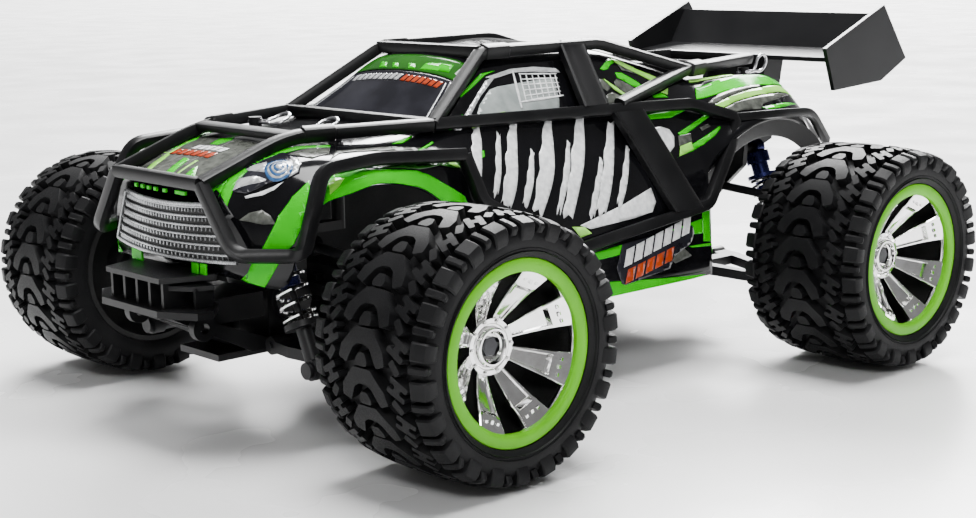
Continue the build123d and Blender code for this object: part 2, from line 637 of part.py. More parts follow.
# ---------------------------------------------------------------- wing
def rear_wing():
    """Wing plane with its flap and end plates, and the two-sided mount under it."""
    plane = side_plate([(187, 144.5), (215, 147.5), (227, 166.5), (229.5, 165.5), (217.5, 145.5), (187, 142)],
                       -69, 69)
    end_plate = side_plate([(231.1, 171.2), (TAIL_Y, 141), (230, 129.8), (187, 127.2), (178.7, 149.9)], 68.8, 71.3)
    wing = fuse([plane] + both_sides(end_plate))
    strut = side_plate([(148.3, 82), (152, 82), (197, 97), (207, 143.9), (190, 142.2), (186.5, 110), (148.3, 96)],
                       18, 22)
    web = side_plate([(192, 118), (200, 118), (203, 143), (194, 142.3)], -18.1, 18.1)
    mount = fuse(both_sides(strut) + [web])
    return [wing, mount - wing]


# ---------------------------------------------------------------- write the parts
def corner_parts(end, side):
    """All nodes of one wheel corner by name."""
    axle_y = FRONT_Y if end == "front" else REAR_Y
    shapes = {"lower_arm": lower_arm(end), "upper_link": [upper_link()], "shock_body": [shock_body(end)],
              "shock_shaft": [shock_shaft(end)], "shock_spring": [shock_spring(end)]}
    if end == "front":
        shapes["c_hub"] = [c_hub()]
        shapes["steering_knuckle"] = [knuckle()]
    else:
        shapes["hub_carrier"] = [hub_carrier()]
    parts = {}
    for name, pieces in shapes.items():
        placed = [Pos(0, axle_y, 0) * piece for piece in pieces]
        if side == "right":
            placed = [mirror(piece, about=Plane.YZ) for piece in placed]
        parts[f"{name}_{end}_{side}"] = placed
    wheel = {"tyre": [tyre()], "rim": [rim()], "bead_ring": [bead_ring()], "axle_set": axle_set()}
    for name, pieces in wheel.items():
        parts[f"{name}_{end}_{side}"] = [place_wheel(piece, end, side) for piece in pieces]
    return parts


def all_parts():
    parts = {}
    for end in ("front", "rear"):
        for side in ("left", "right"):
            parts.update(corner_parts(end, side))
    for side, shape in zip(("left", "right"), both_sides(Pos(0, FRONT_Y + RACK_OFF, 0) * tie_rod())):
        parts[f"tie_rod_{side}"] = [shape]
    parts["chassis_tub"] = [chassis_tub()]
    parts["gearbox_cases"] = gearbox_cases()
    parts["shock_towers"] = [tower("front"), tower("rear")]
    parts["front_bumper"] = [front_bumper()]
    parts["body_shell"] = [body_shell()]
    parts["cage_front"] = [cage_front()]
    parts["cage_cabin"] = [cage_cabin()]
    parts["cage_sides"] = cage_sides()
    parts["cage_rear"] = [cage_rear()]
    parts["rear_wing"] = rear_wing()
    parts["drive_motors"] = drive_motors()
    parts["battery_pack"] = [battery_pack()]
    parts["steering_servo"] = [steering_servo()]
    parts["steering_rack"] = [steering_rack()]
    parts["body_clips"] = body_clips()
    parts["power_switch"] = [power_switch()]
    return parts


def solids_of(shapes):
    return [solid for shape in shapes for solid in shape.solids()]


def main():
    os.makedirs("parts", exist_ok=True)
    for name, shapes in all_parts().items():
        moved = [Pos(0, BOX_SHIFT_Y, 0) * solid for solid in solids_of(shapes)]
        export_step(Compound(children=moved), f"parts/{name}.step")


main()
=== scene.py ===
import json
import math

import bmesh
import bpy
from mathutils import Matrix, Vector
from mathutils.bvhtree import BVHTree

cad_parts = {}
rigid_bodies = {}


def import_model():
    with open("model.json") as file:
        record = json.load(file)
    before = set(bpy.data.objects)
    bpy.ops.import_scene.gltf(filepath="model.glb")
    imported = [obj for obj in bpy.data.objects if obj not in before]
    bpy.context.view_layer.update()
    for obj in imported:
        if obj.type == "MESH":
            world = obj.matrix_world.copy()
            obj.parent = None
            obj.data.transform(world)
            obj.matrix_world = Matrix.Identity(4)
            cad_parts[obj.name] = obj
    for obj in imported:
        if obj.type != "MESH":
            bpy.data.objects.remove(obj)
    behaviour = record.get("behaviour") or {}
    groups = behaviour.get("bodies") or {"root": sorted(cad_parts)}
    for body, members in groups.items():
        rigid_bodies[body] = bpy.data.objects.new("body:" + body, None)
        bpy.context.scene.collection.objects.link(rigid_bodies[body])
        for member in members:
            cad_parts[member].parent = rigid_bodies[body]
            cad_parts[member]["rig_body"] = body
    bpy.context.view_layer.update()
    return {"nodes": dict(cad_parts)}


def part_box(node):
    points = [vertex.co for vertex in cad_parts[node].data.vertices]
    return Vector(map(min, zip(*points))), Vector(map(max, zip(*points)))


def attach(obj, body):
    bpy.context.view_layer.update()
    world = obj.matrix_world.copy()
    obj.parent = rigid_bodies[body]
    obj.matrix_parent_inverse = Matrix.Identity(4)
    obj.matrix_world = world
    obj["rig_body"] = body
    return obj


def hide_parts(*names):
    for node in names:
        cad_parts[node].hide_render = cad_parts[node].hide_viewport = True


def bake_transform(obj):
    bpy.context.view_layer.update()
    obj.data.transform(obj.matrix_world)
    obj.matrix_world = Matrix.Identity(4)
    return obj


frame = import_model()

# Places and sizes are in millimetres in the car frame: x to the car's left, y = 0 halfway
# between the axles, z = 0 on the ground. Meshes are made in it and then scaled to metres.
MM = 0.001
ENDS = ("front", "rear")
SIDES = ("left", "right")


def node_middle(node):
    low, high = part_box(node)
    return (low + high) / 2 / MM


front_wheel = node_middle("tyre_front_left")
rear_wheel = node_middle("tyre_rear_left")
SHIFT_Y = (front_wheel.y + rear_wheel.y) / 2
AXLE_Y = {"front": front_wheel.y - SHIFT_Y, "rear": rear_wheel.y - SHIFT_Y}
AXLE_Z = front_wheel.z
HALF_TRACK = front_wheel.x
TO_ROW = Matrix.Scale(MM, 4) @ Matrix.Translation((0, SHIFT_Y, 0))


# ---------------------------------------------------------------- materials
def new_material(name):
    """Material with its node tree, shader, and texture coordinates in millimetres."""
    material = bpy.data.materials.new(name)
    material.use_nodes = True
    tree = material.node_tree
    shader = tree.nodes["Principled BSDF"]
    coords = tree.nodes.new("ShaderNodeTexCoord")
    scale = tree.nodes.new("ShaderNodeVectorMath")
    scale.operation = "SCALE"
    scale.inputs["Scale"].default_value = 1 / MM
    tree.links.new(coords.outputs["Object"], scale.inputs[0])
    return material, tree, shader, scale.outputs[0]


def noise(tree, vector, scale, detail=3.0, stretch=(1, 1, 1)):
    """Noise whose scale is in features per millimetre."""
    mapping = tree.nodes.new("ShaderNodeMapping")
    mapping.inputs["Scale"].default_value = stretch
    texture = tree.nodes.new("ShaderNodeTexNoise")
    texture.inputs["Scale"].default_value = scale
    texture.inputs["Detail"].default_value = detail
    tree.links.new(vector, mapping.inputs["Vector"])
    tree.links.new(mapping.outputs[0], texture.inputs["Vector"])
    return texture.outputs["Fac"]


def ramp(tree, value, low, high, start=0.35, stop=0.65):
    """Colour or grey ramp between two colours."""
    node = tree.nodes.new("ShaderNodeValToRGB")
    for element, place, color in zip(node.color_ramp.elements, (start, stop), (low, high)):
        element.position = place
        element.color = (*color, 1) if hasattr(color, "__len__") else (color, color, color, 1)
    tree.links.new(value, node.inputs[0])
    return node.outputs[0]


def bump(tree, shader, height, strength, distance):
    node = tree.nodes.new("ShaderNodeBump")
    node.inputs["Strength"].default_value = strength
    node.inputs["Distance"].default_value = distance * MM
    tree.links.new(height, node.inputs["Height"])
    tree.links.new(node.outputs[0], shader.inputs["Normal"])


def finish_material(name, dark, light, rough, metallic=0.0, grain=2.0, strength=0.15, depth=0.1, coat=0.0,
                    coat_rough=0.05, specular=0.5, stretch=(1, 1, 1), patch=0.05):
    """Surface with slow colour variation, a range of roughness and a fine bump grain."""
    material, tree, shader, vector = new_material(name)
    slow = noise(tree, vector, patch, 4.0)
    fine = noise(tree, vector, grain, 3.0, stretch)
    tree.links.new(ramp(tree, slow, dark, light), shader.inputs["Base Color"])
    tree.links.new(ramp(tree, fine, rough[0], rough[1]), shader.inputs["Roughness"])
    shader.inputs["Metallic"].default_value = metallic
    shader.inputs["Coat Weight"].default_value = coat
    shader.inputs["Coat Roughness"].default_value = coat_rough
    shader.inputs["Specular IOR Level"].default_value = specular
    bump(tree, shader, fine, strength, depth)
    return material


# Each finish: dark colour, light colour, range of roughness, and what differs from the usual.
DECAL_FILM = dict(strength=0.03, depth=0.1)
FINISHES = {
    "rubber": ((0.0035, 0.0035, 0.004), (0.008, 0.008, 0.0085), (0.44, 0.64),
               dict(grain=1.6, strength=0.25, depth=0.12, specular=0.13)),
    "chrome": ((0.78, 0.77, 0.76), (0.92, 0.92, 0.92), (0.03, 0.09),
               dict(metallic=1.0, grain=0.22, strength=0.12, depth=0.35, patch=0.15)),
    "green_plastic": ((0.085, 0.36, 0.0), (0.1, 0.42, 0.0), (0.34, 0.46),
                      dict(grain=3.0, strength=0.05, depth=0.05, specular=0.2)),
    "black_plastic": ((0.007, 0.007, 0.0075), (0.012, 0.012, 0.013), (0.36, 0.52),
                      dict(grain=3.5, strength=0.2, depth=0.06, specular=0.26)),
    "cage_plastic": ((0.004, 0.004, 0.0045), (0.008, 0.008, 0.0085), (0.28, 0.42),
                     dict(grain=2.5, strength=0.12, depth=0.05, specular=0.18)),
    "wing_plastic": ((0.009, 0.009, 0.01), (0.012, 0.012, 0.013), (0.3, 0.38),
                     dict(grain=2.5, strength=0.02, depth=0.02, specular=0.18)),
    "shell_paint": ((0.0025, 0.0025, 0.003), (0.004, 0.004, 0.005), (0.08, 0.14),
                    dict(grain=0.25, strength=0.04, depth=0.2, specular=0.24)),
    "inner_black": ((0.006, 0.006, 0.006), (0.012, 0.012, 0.012), (0.5, 0.7),
                    dict(grain=2.0, specular=0.3)),
    "lip_black": ((0.0015, 0.0015, 0.0018), (0.003, 0.003, 0.0035), (0.4, 0.55),
                  dict(grain=2.0, strength=0.1, depth=0.05, specular=0.12)),
    "dark_steel": ((0.035, 0.035, 0.038), (0.06, 0.06, 0.064), (0.25, 0.4),
                   dict(metallic=1.0, grain=4.0, strength=0.1, depth=0.03)),
    "steel": ((0.5, 0.5, 0.52), (0.62, 0.62, 0.64), (0.18, 0.32),
              dict(metallic=1.0, grain=4.0, strength=0.1, depth=0.03, stretch=(6, 1, 1))),
    "spring_steel": ((0.86, 0.86, 0.86), (0.95, 0.95, 0.95), (0.07, 0.14),
                     dict(metallic=1.0, grain=2.0, strength=0.08, depth=0.03)),
    "blue_anodised": ((0.01, 0.012, 0.06), (0.022, 0.026, 0.12), (0.2, 0.35),
                      dict(metallic=0.8, grain=3.0, strength=0.08, depth=0.03)),
    "motor_can": ((0.42, 0.42, 0.44), (0.55, 0.55, 0.57), (0.25, 0.4),
                  dict(metallic=1.0, grain=3.0, stretch=(1, 8, 1))),
    "battery_wrap": ((0.02, 0.05, 0.14), (0.03, 0.07, 0.19), (0.2, 0.35),
                     dict(grain=0.8, strength=0.2, depth=0.1)),
    "switch_plastic": ((0.45, 0.02, 0.015), (0.55, 0.03, 0.02), (0.3, 0.4), dict()),
    "decal_green": ((0.01, 0.4, 0.0), (0.016, 0.48, 0.0), (0.14, 0.22),
                    dict(DECAL_FILM, grain=0.4, specular=0.12)),
    # Pale green ink: pale stripes of the livery, and painted highlights on the green where the light falls on
    # the fenders.
    "decal_light": ((0.2, 0.58, 0.05), (0.34, 0.72, 0.14), (0.1, 0.18),
                    dict(DECAL_FILM, grain=0.4, specular=0.2)),
    # Grey ink: grey print of the livery, and a painted sheen where the light falls on the hood.
    "decal_grey": ((0.045, 0.048, 0.042), (0.095, 0.1, 0.088), (0.12, 0.2),
                   dict(DECAL_FILM, grain=0.5, specular=0.15, patch=0.3)),
    "decal_silver": ((0.42, 0.43, 0.44), (0.62, 0.63, 0.64), (0.12, 0.22),
                     dict(DECAL_FILM, metallic=0.3, grain=0.6, patch=0.4)),
    "decal_white": ((0.62, 0.63, 0.64), (0.85, 0.86, 0.86), (0.12, 0.22),
                    dict(DECAL_FILM, grain=0.6, patch=0.35)),
    "decal_dark": ((0.008, 0.008, 0.011), (0.02, 0.02, 0.026), (0.08, 0.12),
                   dict(DECAL_FILM, grain=0.3, specular=0.3)),
    "decal_deep": ((0.008, 0.075, 0.003), (0.012, 0.12, 0.004), (0.1, 0.18), dict(DECAL_FILM, grain=0.4)),
    "decal_glass": ((0.2, 0.225, 0.22), (0.3, 0.33, 0.32), (0.08, 0.16),
                    dict(DECAL_FILM, grain=0.4, patch=0.12)),
    "decal_orange": ((0.32, 0.032, 0.006), (0.42, 0.05, 0.01), (0.12, 0.22), dict(DECAL_FILM, grain=0.5)),
    "decal_blue": ((0.02, 0.065, 0.17), (0.04, 0.12, 0.28), (0.1, 0.2), dict(DECAL_FILM, grain=0.5)),
    "grille_metal": ((0.22, 0.225, 0.23), (0.42, 0.43, 0.44), (0.2, 0.35),
                     dict(metallic=0.6, grain=2.0, strength=0.05, depth=0.03)),
    "floor": ((0.77, 0.77, 0.77), (0.81, 0.81, 0.81), (0.22, 0.3),
              dict(grain=0.01, strength=0.02, depth=1.0, patch=0.002)),
}
MATERIALS = {name: finish_material(name, *finish[:3], **finish[3]) for name, finish in FINISHES.items()}


# ---------------------------------------------------------------- mesh helpers
def make_piece(name, bm, material, body, smooth=35.0):
    """Object of a bmesh drawn in car-frame millimetres; it rides a body, or none if no body is given."""
    bmesh.ops.recalc_face_normals(bm, faces=bm.faces[:])
    bm.transform(TO_ROW)
    mesh = bpy.data.meshes.new(name)
    bm.to_mesh(mesh)
    bm.free()
    piece = bpy.data.objects.new(name, mesh)
    bpy.context.scene.collection.objects.link(piece)
    for each in [material] if isinstance(material, str) else material:
        mesh.materials.append(MATERIALS[each])
    shade(mesh, smooth)
    if body:
        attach(piece, body)
    return piece


def shade(mesh, angle):
    """Smooth shading with edges sharper than the angle kept sharp."""
    mesh.polygons.foreach_set("use_smooth", [True] * len(mesh.polygons))
    mesh.set_sharp_from_angle(angle=math.radians(angle))


def bevel(piece, width, segments=2, angle=40.0):
    modifier = piece.modifiers.new("soft_edges", "BEVEL")
    modifier.width = width * MM
    modifier.segments = segments
    modifier.limit_method = "ANGLE"
    modifier.angle_limit = math.radians(angle)
    modifier.harden_normals = True


def add_box(bm, low, high, matrix=None):
    made = bmesh.ops.create_cube(bm, size=1.0)["verts"]
    bmesh.ops.scale(bm, vec=[b - a for a, b in zip(low, high)], verts=made)
    bmesh.ops.translate(bm, vec=[(a + b) / 2 for a, b in zip(low, high)], verts=made)
    if matrix:
        bmesh.ops.transform(bm, matrix=matrix, verts=made)


def loft(bm, rings, closed=False):
    """Skin between rings of points with equal counts; closed joins the last ring to the first."""
    verts = [[bm.verts.new(p) for p in ring] for ring in rings]
    count = len(rings[0])
    pairs = list(zip(verts, verts[1:]))
    if closed:
        pairs.append((verts[-1], verts[0]))
    for a, b in pairs:
        for i in range(count):
            j = (i + 1) % count
            bm.faces.new((a[i], a[j], b[j], b[i]))
    if not closed:
        bm.faces.new(list(reversed(verts[0])))
        bm.faces.new(verts[-1])


def turned(bm, profile, segments=64):
    """Revolve a closed outline of (x, radius) points about X."""
    rings = []
    for n in range(segments):
        angle = math.tau * n / segments
        rings.append([Vector((x, r * math.cos(angle), r * math.sin(angle))) for x, r in profile])
    loft(bm, rings, closed=True)


def soft_corner(before, here, after, radius, steps):
    """Points of the curve that stands in for a corner."""
    reach = min(radius, (before - here).length * 0.45, (after - here).length * 0.45)
    a = here + (before - here).normalized() * reach
    b = here + (after - here).normalized() * reach
    shares = [n / steps for n in range(steps + 1)]
    return [a * (1 - t) ** 2 + here * (2 * t * (1 - t)) + b * t ** 2 for t in shares]


def rounded(outline, radius, steps=3):
    """Closed 2D outline with its corners rounded."""
    corners = [Vector(p) for p in outline]
    points = []
    for i, here in enumerate(corners):
        points += soft_corner(corners[i - 1], here, corners[(i + 1) % len(corners)], radius, steps)
    return points


def bend_path(points, bend, steps=5):
    """Polyline with its corners rounded."""
    points = [Vector(p) for p in points]
    out = [points[0]]
    for before, here, after in zip(points, points[1:], points[2:]):
        out += soft_corner(before, here, after, bend, steps)
    return out + [points[-1]]


def sweep(bm, path, section, up=(0, 0, 1)):
    """Skin a 2D section along a path; up steers the section's second axis."""
    path = [Vector(p) for p in path]
    up = Vector(up)
    rings = []
    last = len(path) - 1
    for i, point in enumerate(path):
        along = (path[min(i + 1, last)] - path[max(i - 1, 0)]).normalized()
        side = along.cross(up)
        if side.length < 0.05:
            side = along.cross(Vector((0, 1, 0)))
        side.normalize()
        top = side.cross(along)
        rings.append([point + side * u + top * v for u, v in section])
    loft(bm, rings)


def circle(radius, count=12):
    return [(radius * math.cos(math.tau * n / count), radius * math.sin(math.tau * n / count))
            for n in range(count)]


def rounded_square(width, height, corner):
    u, v = width / 2, height / 2
    return [tuple(p) for p in rounded([(-u, -v), (u, -v), (u, v), (-u, v)], corner, 2)]


def cylinder(bm, start, end, radius, count=20):
    along = Vector(end) - Vector(start)
    up = (0, 0, 1) if abs(along.normalized().z) < 0.9 else (0, 1, 0)
    sweep(bm, [start, end], circle(radius, count), up=up)


def cut_flat(flat, axis, place):
    """Cut a flat bmesh by the line where its first or second coordinate is at a place."""
    point, normal = Vector((0, 0, 0)), Vector((0, 0, 0))
    point[axis], normal[axis] = place, 1
    everything = flat.verts[:] + flat.edges[:] + flat.faces[:]
    bmesh.ops.bisect_plane(flat, geom=everything, plane_co=point, plane_no=normal)


def opposite(point):
    """The same place on the other side of the car."""
    return (-point[0], point[1], point[2])


def mirror_copy(bm):
    """Add the mirror image of everything in a bmesh."""
    made = bmesh.ops.duplicate(bm, geom=bm.verts[:] + bm.edges[:] + bm.faces[:])["geom"]
    verts = [g for g in made if isinstance(g, bmesh.types.BMVert)]
    bmesh.ops.scale(bm, vec=(-1, 1, 1), verts=verts)
    bmesh.ops.reverse_faces(bm, faces=[g for g in made if isinstance(g, bmesh.types.BMFace)])


# ---------------------------------------------------------------- tyre, local frame: axle along X
PITCHES = 22
TYRE_HALF = 33.0
CROWN_R = 53.9
TREAD_DEPTH = 4.6
CELL = 3.2                  # largest facet of a tread block
TREAD_SEGMENTS = 110        # of the carcass and the bead ring round the wheel


def crown(s):
    """Radius of the tread's top surface at s across the tyre."""
    return CROWN_R - 2.6 * abs(s / TYRE_HALF) ** 3.0


# Outlines of the tread's blocks: (across the tyre, round the tyre).
CHEVRON = [(-5, 6.6), (5, 6.6), (12.2, -0.8), (13.4, -5.6), (8.8, -7.2), (5.0, -0.9), (2.2, 0.6),
           (-2.2, 0.6), (-5.0, -0.9), (-8.8, -7.2), (-13.4, -5.6), (-12.2, -0.8)]
NOTCH_WEDGE = [(-2.9, -7.4), (2.9, -7.4), (3.5, -5.4), (1.7, -2.4), (-1.7, -2.4), (-3.5, -5.4)]
H_BLOCK = [(-4.6, 3.4), (4.6, 3.4), (4.6, 1.0), (1.5, 1.0), (1.5, -1.0), (4.6, -1.0), (4.6, -3.4),
           (-4.6, -3.4), (-4.6, -1.0), (-1.5, -1.0), (-1.5, 1.0), (-4.6, 1.0)]
SMALL_BLOCK = [(-3.0, -1.5), (3.0, -1.5), (3.0, 1.5), (-3.0, 1.5)]


def placed_outline(outline, s, t, degrees, flip):
    """Outline turned and moved on the tread; flip mirrors it to the other half."""
    turn = math.radians(degrees)
    out = []
    for u, v in outline:
        x = s + u * math.cos(turn) - v * math.sin(turn)
        y = t + u * math.sin(turn) + v * math.cos(turn)
        out.append((x * flip, y))
    return out


def tread_block(bm, outline, pitch, height=TREAD_DEPTH, chamfer=0.45, flare=0.7):
    """Raised block on the carcass: chamfered top on the crown, sides flared to the base."""
    flat = bmesh.new()
    face = flat.faces.new([flat.verts.new((x, y, 0)) for x, y in rounded(outline, 0.7, 2)])
    if face.normal.z < 0:
        face.normal_flip()
    bmesh.ops.inset_region(flat, faces=[face], thickness=chamfer, use_even_offset=True)
    for f in flat.faces:
        if len(f.verts) > 4:
            for v in f.verts:
                v.co.z = 1.0
    lows = [min(v.co[i] for v in flat.verts) for i in (0, 1)]
    highs = [max(v.co[i] for v in flat.verts) for i in (0, 1)]
    for axis in (0, 1):
        cuts = int((highs[axis] - lows[axis]) / CELL)
        for n in range(1, cuts + 1):
            cut_flat(flat, axis, lows[axis] + (highs[axis] - lows[axis]) * n / (cuts + 1))
    middle = Vector(((lows[0] + highs[0]) / 2, (lows[1] + highs[1]) / 2, 0))

    def onto(x, y, level):
        angle = math.tau * pitch / PITCHES + y / (CROWN_R - 2)
        radius = crown(x) - level
        return Vector((x, radius * math.sin(angle), radius * math.cos(angle)))

    top = {}
    base = {}
    for v in flat.verts:
        top[v] = bm.verts.new(onto(v.co.x, v.co.y, 0.0 if v.co.z > 0.5 else chamfer))
        away = (v.co - middle) * Vector((1, 1, 0))
        away = away.normalized() * flare if away.length > 1e-6 else away
        base[v] = bm.verts.new(onto(v.co.x + away.x, v.co.y + away.y, height + 0.4))
    for f in flat.faces:
        bm.faces.new([top[v] for v in f.verts])
        bm.faces.new([base[v] for v in reversed(f.verts)])
    for e in flat.edges:
        if len(e.link_faces) == 1:
            a, b = e.verts
            bm.faces.new((top[a], top[b], base[b], base[a]))
    flat.free()


def shoulder_knob(bm, pitch, t0, t1, s0, drop, flip, level=0.0):
    """Knob that wraps from the shoulder at s0 down onto the sidewall, from t0 to t1 round the tyre."""
    profile = [(s0, crown(s0) - level - 0.5), (s0 + 0.6, crown(s0) - level),
               (30.3, crown(30.3) - level - 0.1), (32.4, 50.9 - level), (33.0, 49.2),
               (32.6, 51 - drop + 1.6), (31.6, 51 - drop), (27.5, 47.5), (s0, 47.6)]
    rings = []
    rim = 0.7
    for t, shrink in ((t0, 0.55), (t0 + rim, 0.0), (t1 - rim, 0.0), (t1, 0.55)):
        angle = math.tau * pitch / PITCHES + t / (CROWN_R - 2)
        ring = []
        for x, r in profile:
            x2 = x - shrink if x > 29 else x
            r2 = r - shrink if r > 50 else r
            ring.append(Vector((flip * x2, r2 * math.sin(angle), r2 * math.cos(angle))))
        rings.append(ring)
    loft(bm, rings)


def tyre_mesh():
    """Carcass with sidewalls, tread blocks and shoulder knobs."""
    bm = bmesh.new()
    wall = [(29.5, 37.25), (30.6, 38.6), (31.4, 41.0), (31.5, 44.0), (30.9, 46.5), (29.6, 48.6), (26.0, 49.0),
            (12.0, CROWN_R - TREAD_DEPTH), (0, CROWN_R - TREAD_DEPTH)]
    outside = wall + [(-x, r) for x, r in reversed(wall[:-1])]
    inside = [(-26.5, 37.3), (-28.0, 44), (-26.0, 46.5), (0, 47.0), (26.0, 46.5), (28.0, 44), (26.5, 37.3)]
    turned(bm, outside + inside, TREAD_SEGMENTS)
    for rib in (39.6, 40.9):
        turned(bm, [(31.0, rib - 0.35), (31.75, rib), (31.0, rib + 0.35), (30.4, rib)], TREAD_SEGMENTS)
    for pitch in range(PITCHES):
        tread_block(bm, CHEVRON, pitch)
        tread_block(bm, NOTCH_WEDGE, pitch, chamfer=0.35)
        for flip in (1, -1):
            tread_block(bm, placed_outline(H_BLOCK, 19.6, 1.6, -28, flip), pitch, chamfer=0.3, flare=0.5)
            tread_block(bm, placed_outline(SMALL_BLOCK, 18.6, -5.3, -50, flip), pitch, chamfer=0.3)
            shoulder_knob(bm, pitch, -1.6, 5.8, 25.6, 7.0, flip)
            shoulder_knob(bm, pitch, -6.6, -3.4, 24.6, 4.4, flip, level=0.5)
    return bm


# ---------------------------------------------------------------- rim, local frame
SPOKES = 8
HUB_R = 10.5                # where the spokes' widths and dish start
BLOCK_R = 26.0              # where a spoke's end block starts
SPOKE_END_R = 31.3
BOLTS = 10
BOLT_CIRCLE = 10.25
# Closed outlines (x, radius) that are turned about the axle.
OUTER_LIP = [(25.9, 31.2), (27.4, 31.6), (27.6, 32.2), (24.5, 33.4), (22.5, 33.4), (24.0, 31.5)]
HUB = [(4, 3.4), (4, 10.6), (12.2, 11.6), (13.0, 11.2), (13.0, 9.3), (12.2, 9.0), (12.2, 8.2), (14.4, 7.9),
       (14.8, 7.4), (14.8, 6.6), (13.8, 6.2), (12.8, 5.9), (12.4, 5.2), (9.0, 5.1), (9.0, 3.4)]
BARREL = [(-29.3, 34.6), (-29.3, 37.0), (-26, 37.0), (-25, 36.2), (25, 36.2), (25.8, 34.0), (24.6, 33.2),
          (22, 34.0), (8, 33.4), (4, 31.0), (0.6, 12.0), (0.6, 9.9), (3.9, 9.9), (3.9, 3.4), (-8, 3.4),
          (-8, 9.0), (-2.2, 11.0), (1.0, 31.6), (-2.0, 33.6), (-20, 34.4)]
BEAD_RING = [(26.4, 31.4), (28.6, 31.4), (29.2, 31.9), (29.5, 32.6), (29.7, 34.2), (29.6, 35.8),
             (29.3, 36.7), (28.6, 37.15), (26.4, 37.15)]


def spoke_half_width(r):
    """Half width of a spoke at a radius: narrow at the hub, flared at its end block."""
    if r < BLOCK_R:
        return 2.7 + (r - HUB_R) * (5.7 - 2.7) / (BLOCK_R - HUB_R)
    return 5.7 + (r - BLOCK_R) * (7.1 - 5.7) / 5.3


def spoke_face_x(r):
    """How far out the spoke's face is: dished from the rim down to the hub."""
    t = max(0.0, r - HUB_R) / (SPOKE_END_R - HUB_R)
    return 12.2 + 14.2 * t ** 1.15


def spoke(bm, angle):
    """One spoke: recessed panel between two raised bars, and a raised end block with three marks."""
    direction = Vector((0, math.cos(angle), math.sin(angle)))
    side = Vector((0, -math.sin(angle), math.cos(angle)))

    def at(r, w, lift):
        return direction * r + side * (w * spoke_half_width(r)) + Vector((spoke_face_x(r) + lift, 0, 0))

    radii = [9.4, 11.6, 12.2, 18, 24.3, 25.2, 26.4, 30.6, 31.6]
    panel = {11.6: 0.0, 12.2: -1.3, 18: -1.3, 24.3: -1.3, 25.2: 0.4}
    rings = []
    for r in radii:
        mid = panel.get(r, 0.4 if r > 25 else 0.0)
        edge = 0.4 if r > 25 else 0.0
        row = [(-1.0, edge - 2.6), (-1.0, edge - 0.5), (-0.93, edge), (-0.72, edge), (-0.64, mid),
               (0.64, mid), (0.72, edge), (0.93, edge), (1.0, edge - 0.5), (1.0, edge - 2.6)]
        rings.append([at(r, w, lift) for w, lift in row])
    loft(bm, rings)
    for n in (-1, 0, 1):
        low = Vector((spoke_face_x(28.3) + 0.2, 0, 0)) + direction * 28.4 + side * (n * 3.2)
        tilt = Matrix.Rotation(angle, 4, "X")
        size = (0.9, 1.9 if n else 2.8, 1.5)
        place = Matrix.Translation(low) @ tilt
        add_box(bm, [-s / 2 for s in size], [s / 2 for s in size], place)


def rim_mesh():
    """Chrome face of the wheel: spokes, hub with bolts, outer lip."""
    bm = bmesh.new()
    for n in range(SPOKES):
        spoke(bm, math.tau * (n + 2.5) / SPOKES)
    turned(bm, OUTER_LIP, 96)
    turned(bm, HUB, 48)
    for n in range(BOLTS):
        angle = math.tau * n / BOLTS
        y, z = BOLT_CIRCLE * math.cos(angle), BOLT_CIRCLE * math.sin(angle)
        cylinder(bm, (12.6, y, z), (13.7, y, z), 0.95, 6)
        cylinder(bm, (13.5, y, z), (14.0, y, z), 0.5, 8)
    return bm


def barrel_mesh():
    """Black wheel well behind the spokes, with a back plate."""
    bm = bmesh.new()
    turned(bm, BARREL, 72)
    return bm


def ring_mesh():
    """Green bead ring with a stepped, rounded face."""
    bm = bmesh.new()
    turned(bm, BEAD_RING, TREAD_SEGMENTS)
    return bm


def wheel_piece(name, mesh_maker, material, node, end, side):
    """Piece of one wheel; the right side is the mirror image of the left."""
    bm = mesh_maker()
    if side == "right":
        bmesh.ops.scale(bm, vec=(-1, 1, 1), verts=bm.verts[:])
    sign = 1 if side == "left" else -1
    bmesh.ops.translate(bm, vec=(sign * HALF_TRACK, AXLE_Y[end], AXLE_Z), verts=bm.verts[:])
    piece = make_piece(f"{name}_{end}_{side}", bm, material, f"wheel_{end}_{side}")
    if node:
        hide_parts(f"{node}_{end}_{side}")
    return piece


def build_wheels():
    for end in ENDS:
        for side in SIDES:
            wheel_piece("tyre_tread", tyre_mesh, "rubber", "tyre", end, side)
            chrome = wheel_piece("wheel_face", rim_mesh, "chrome", "rim", end, side)
            bevel(chrome, 0.22, 2, 30)
            wheel_piece("wheel_barrel", barrel_mesh, "inner_black", None, end, side)
            wheel_piece("bead_ring", ring_mesh, "green_plastic", "bead_ring", end, side)


# ---------------------------------------------------------------- shell
ARCH_R = {"front": 57.5, "rear": 62.5}
SHELL_WALL = 1.4
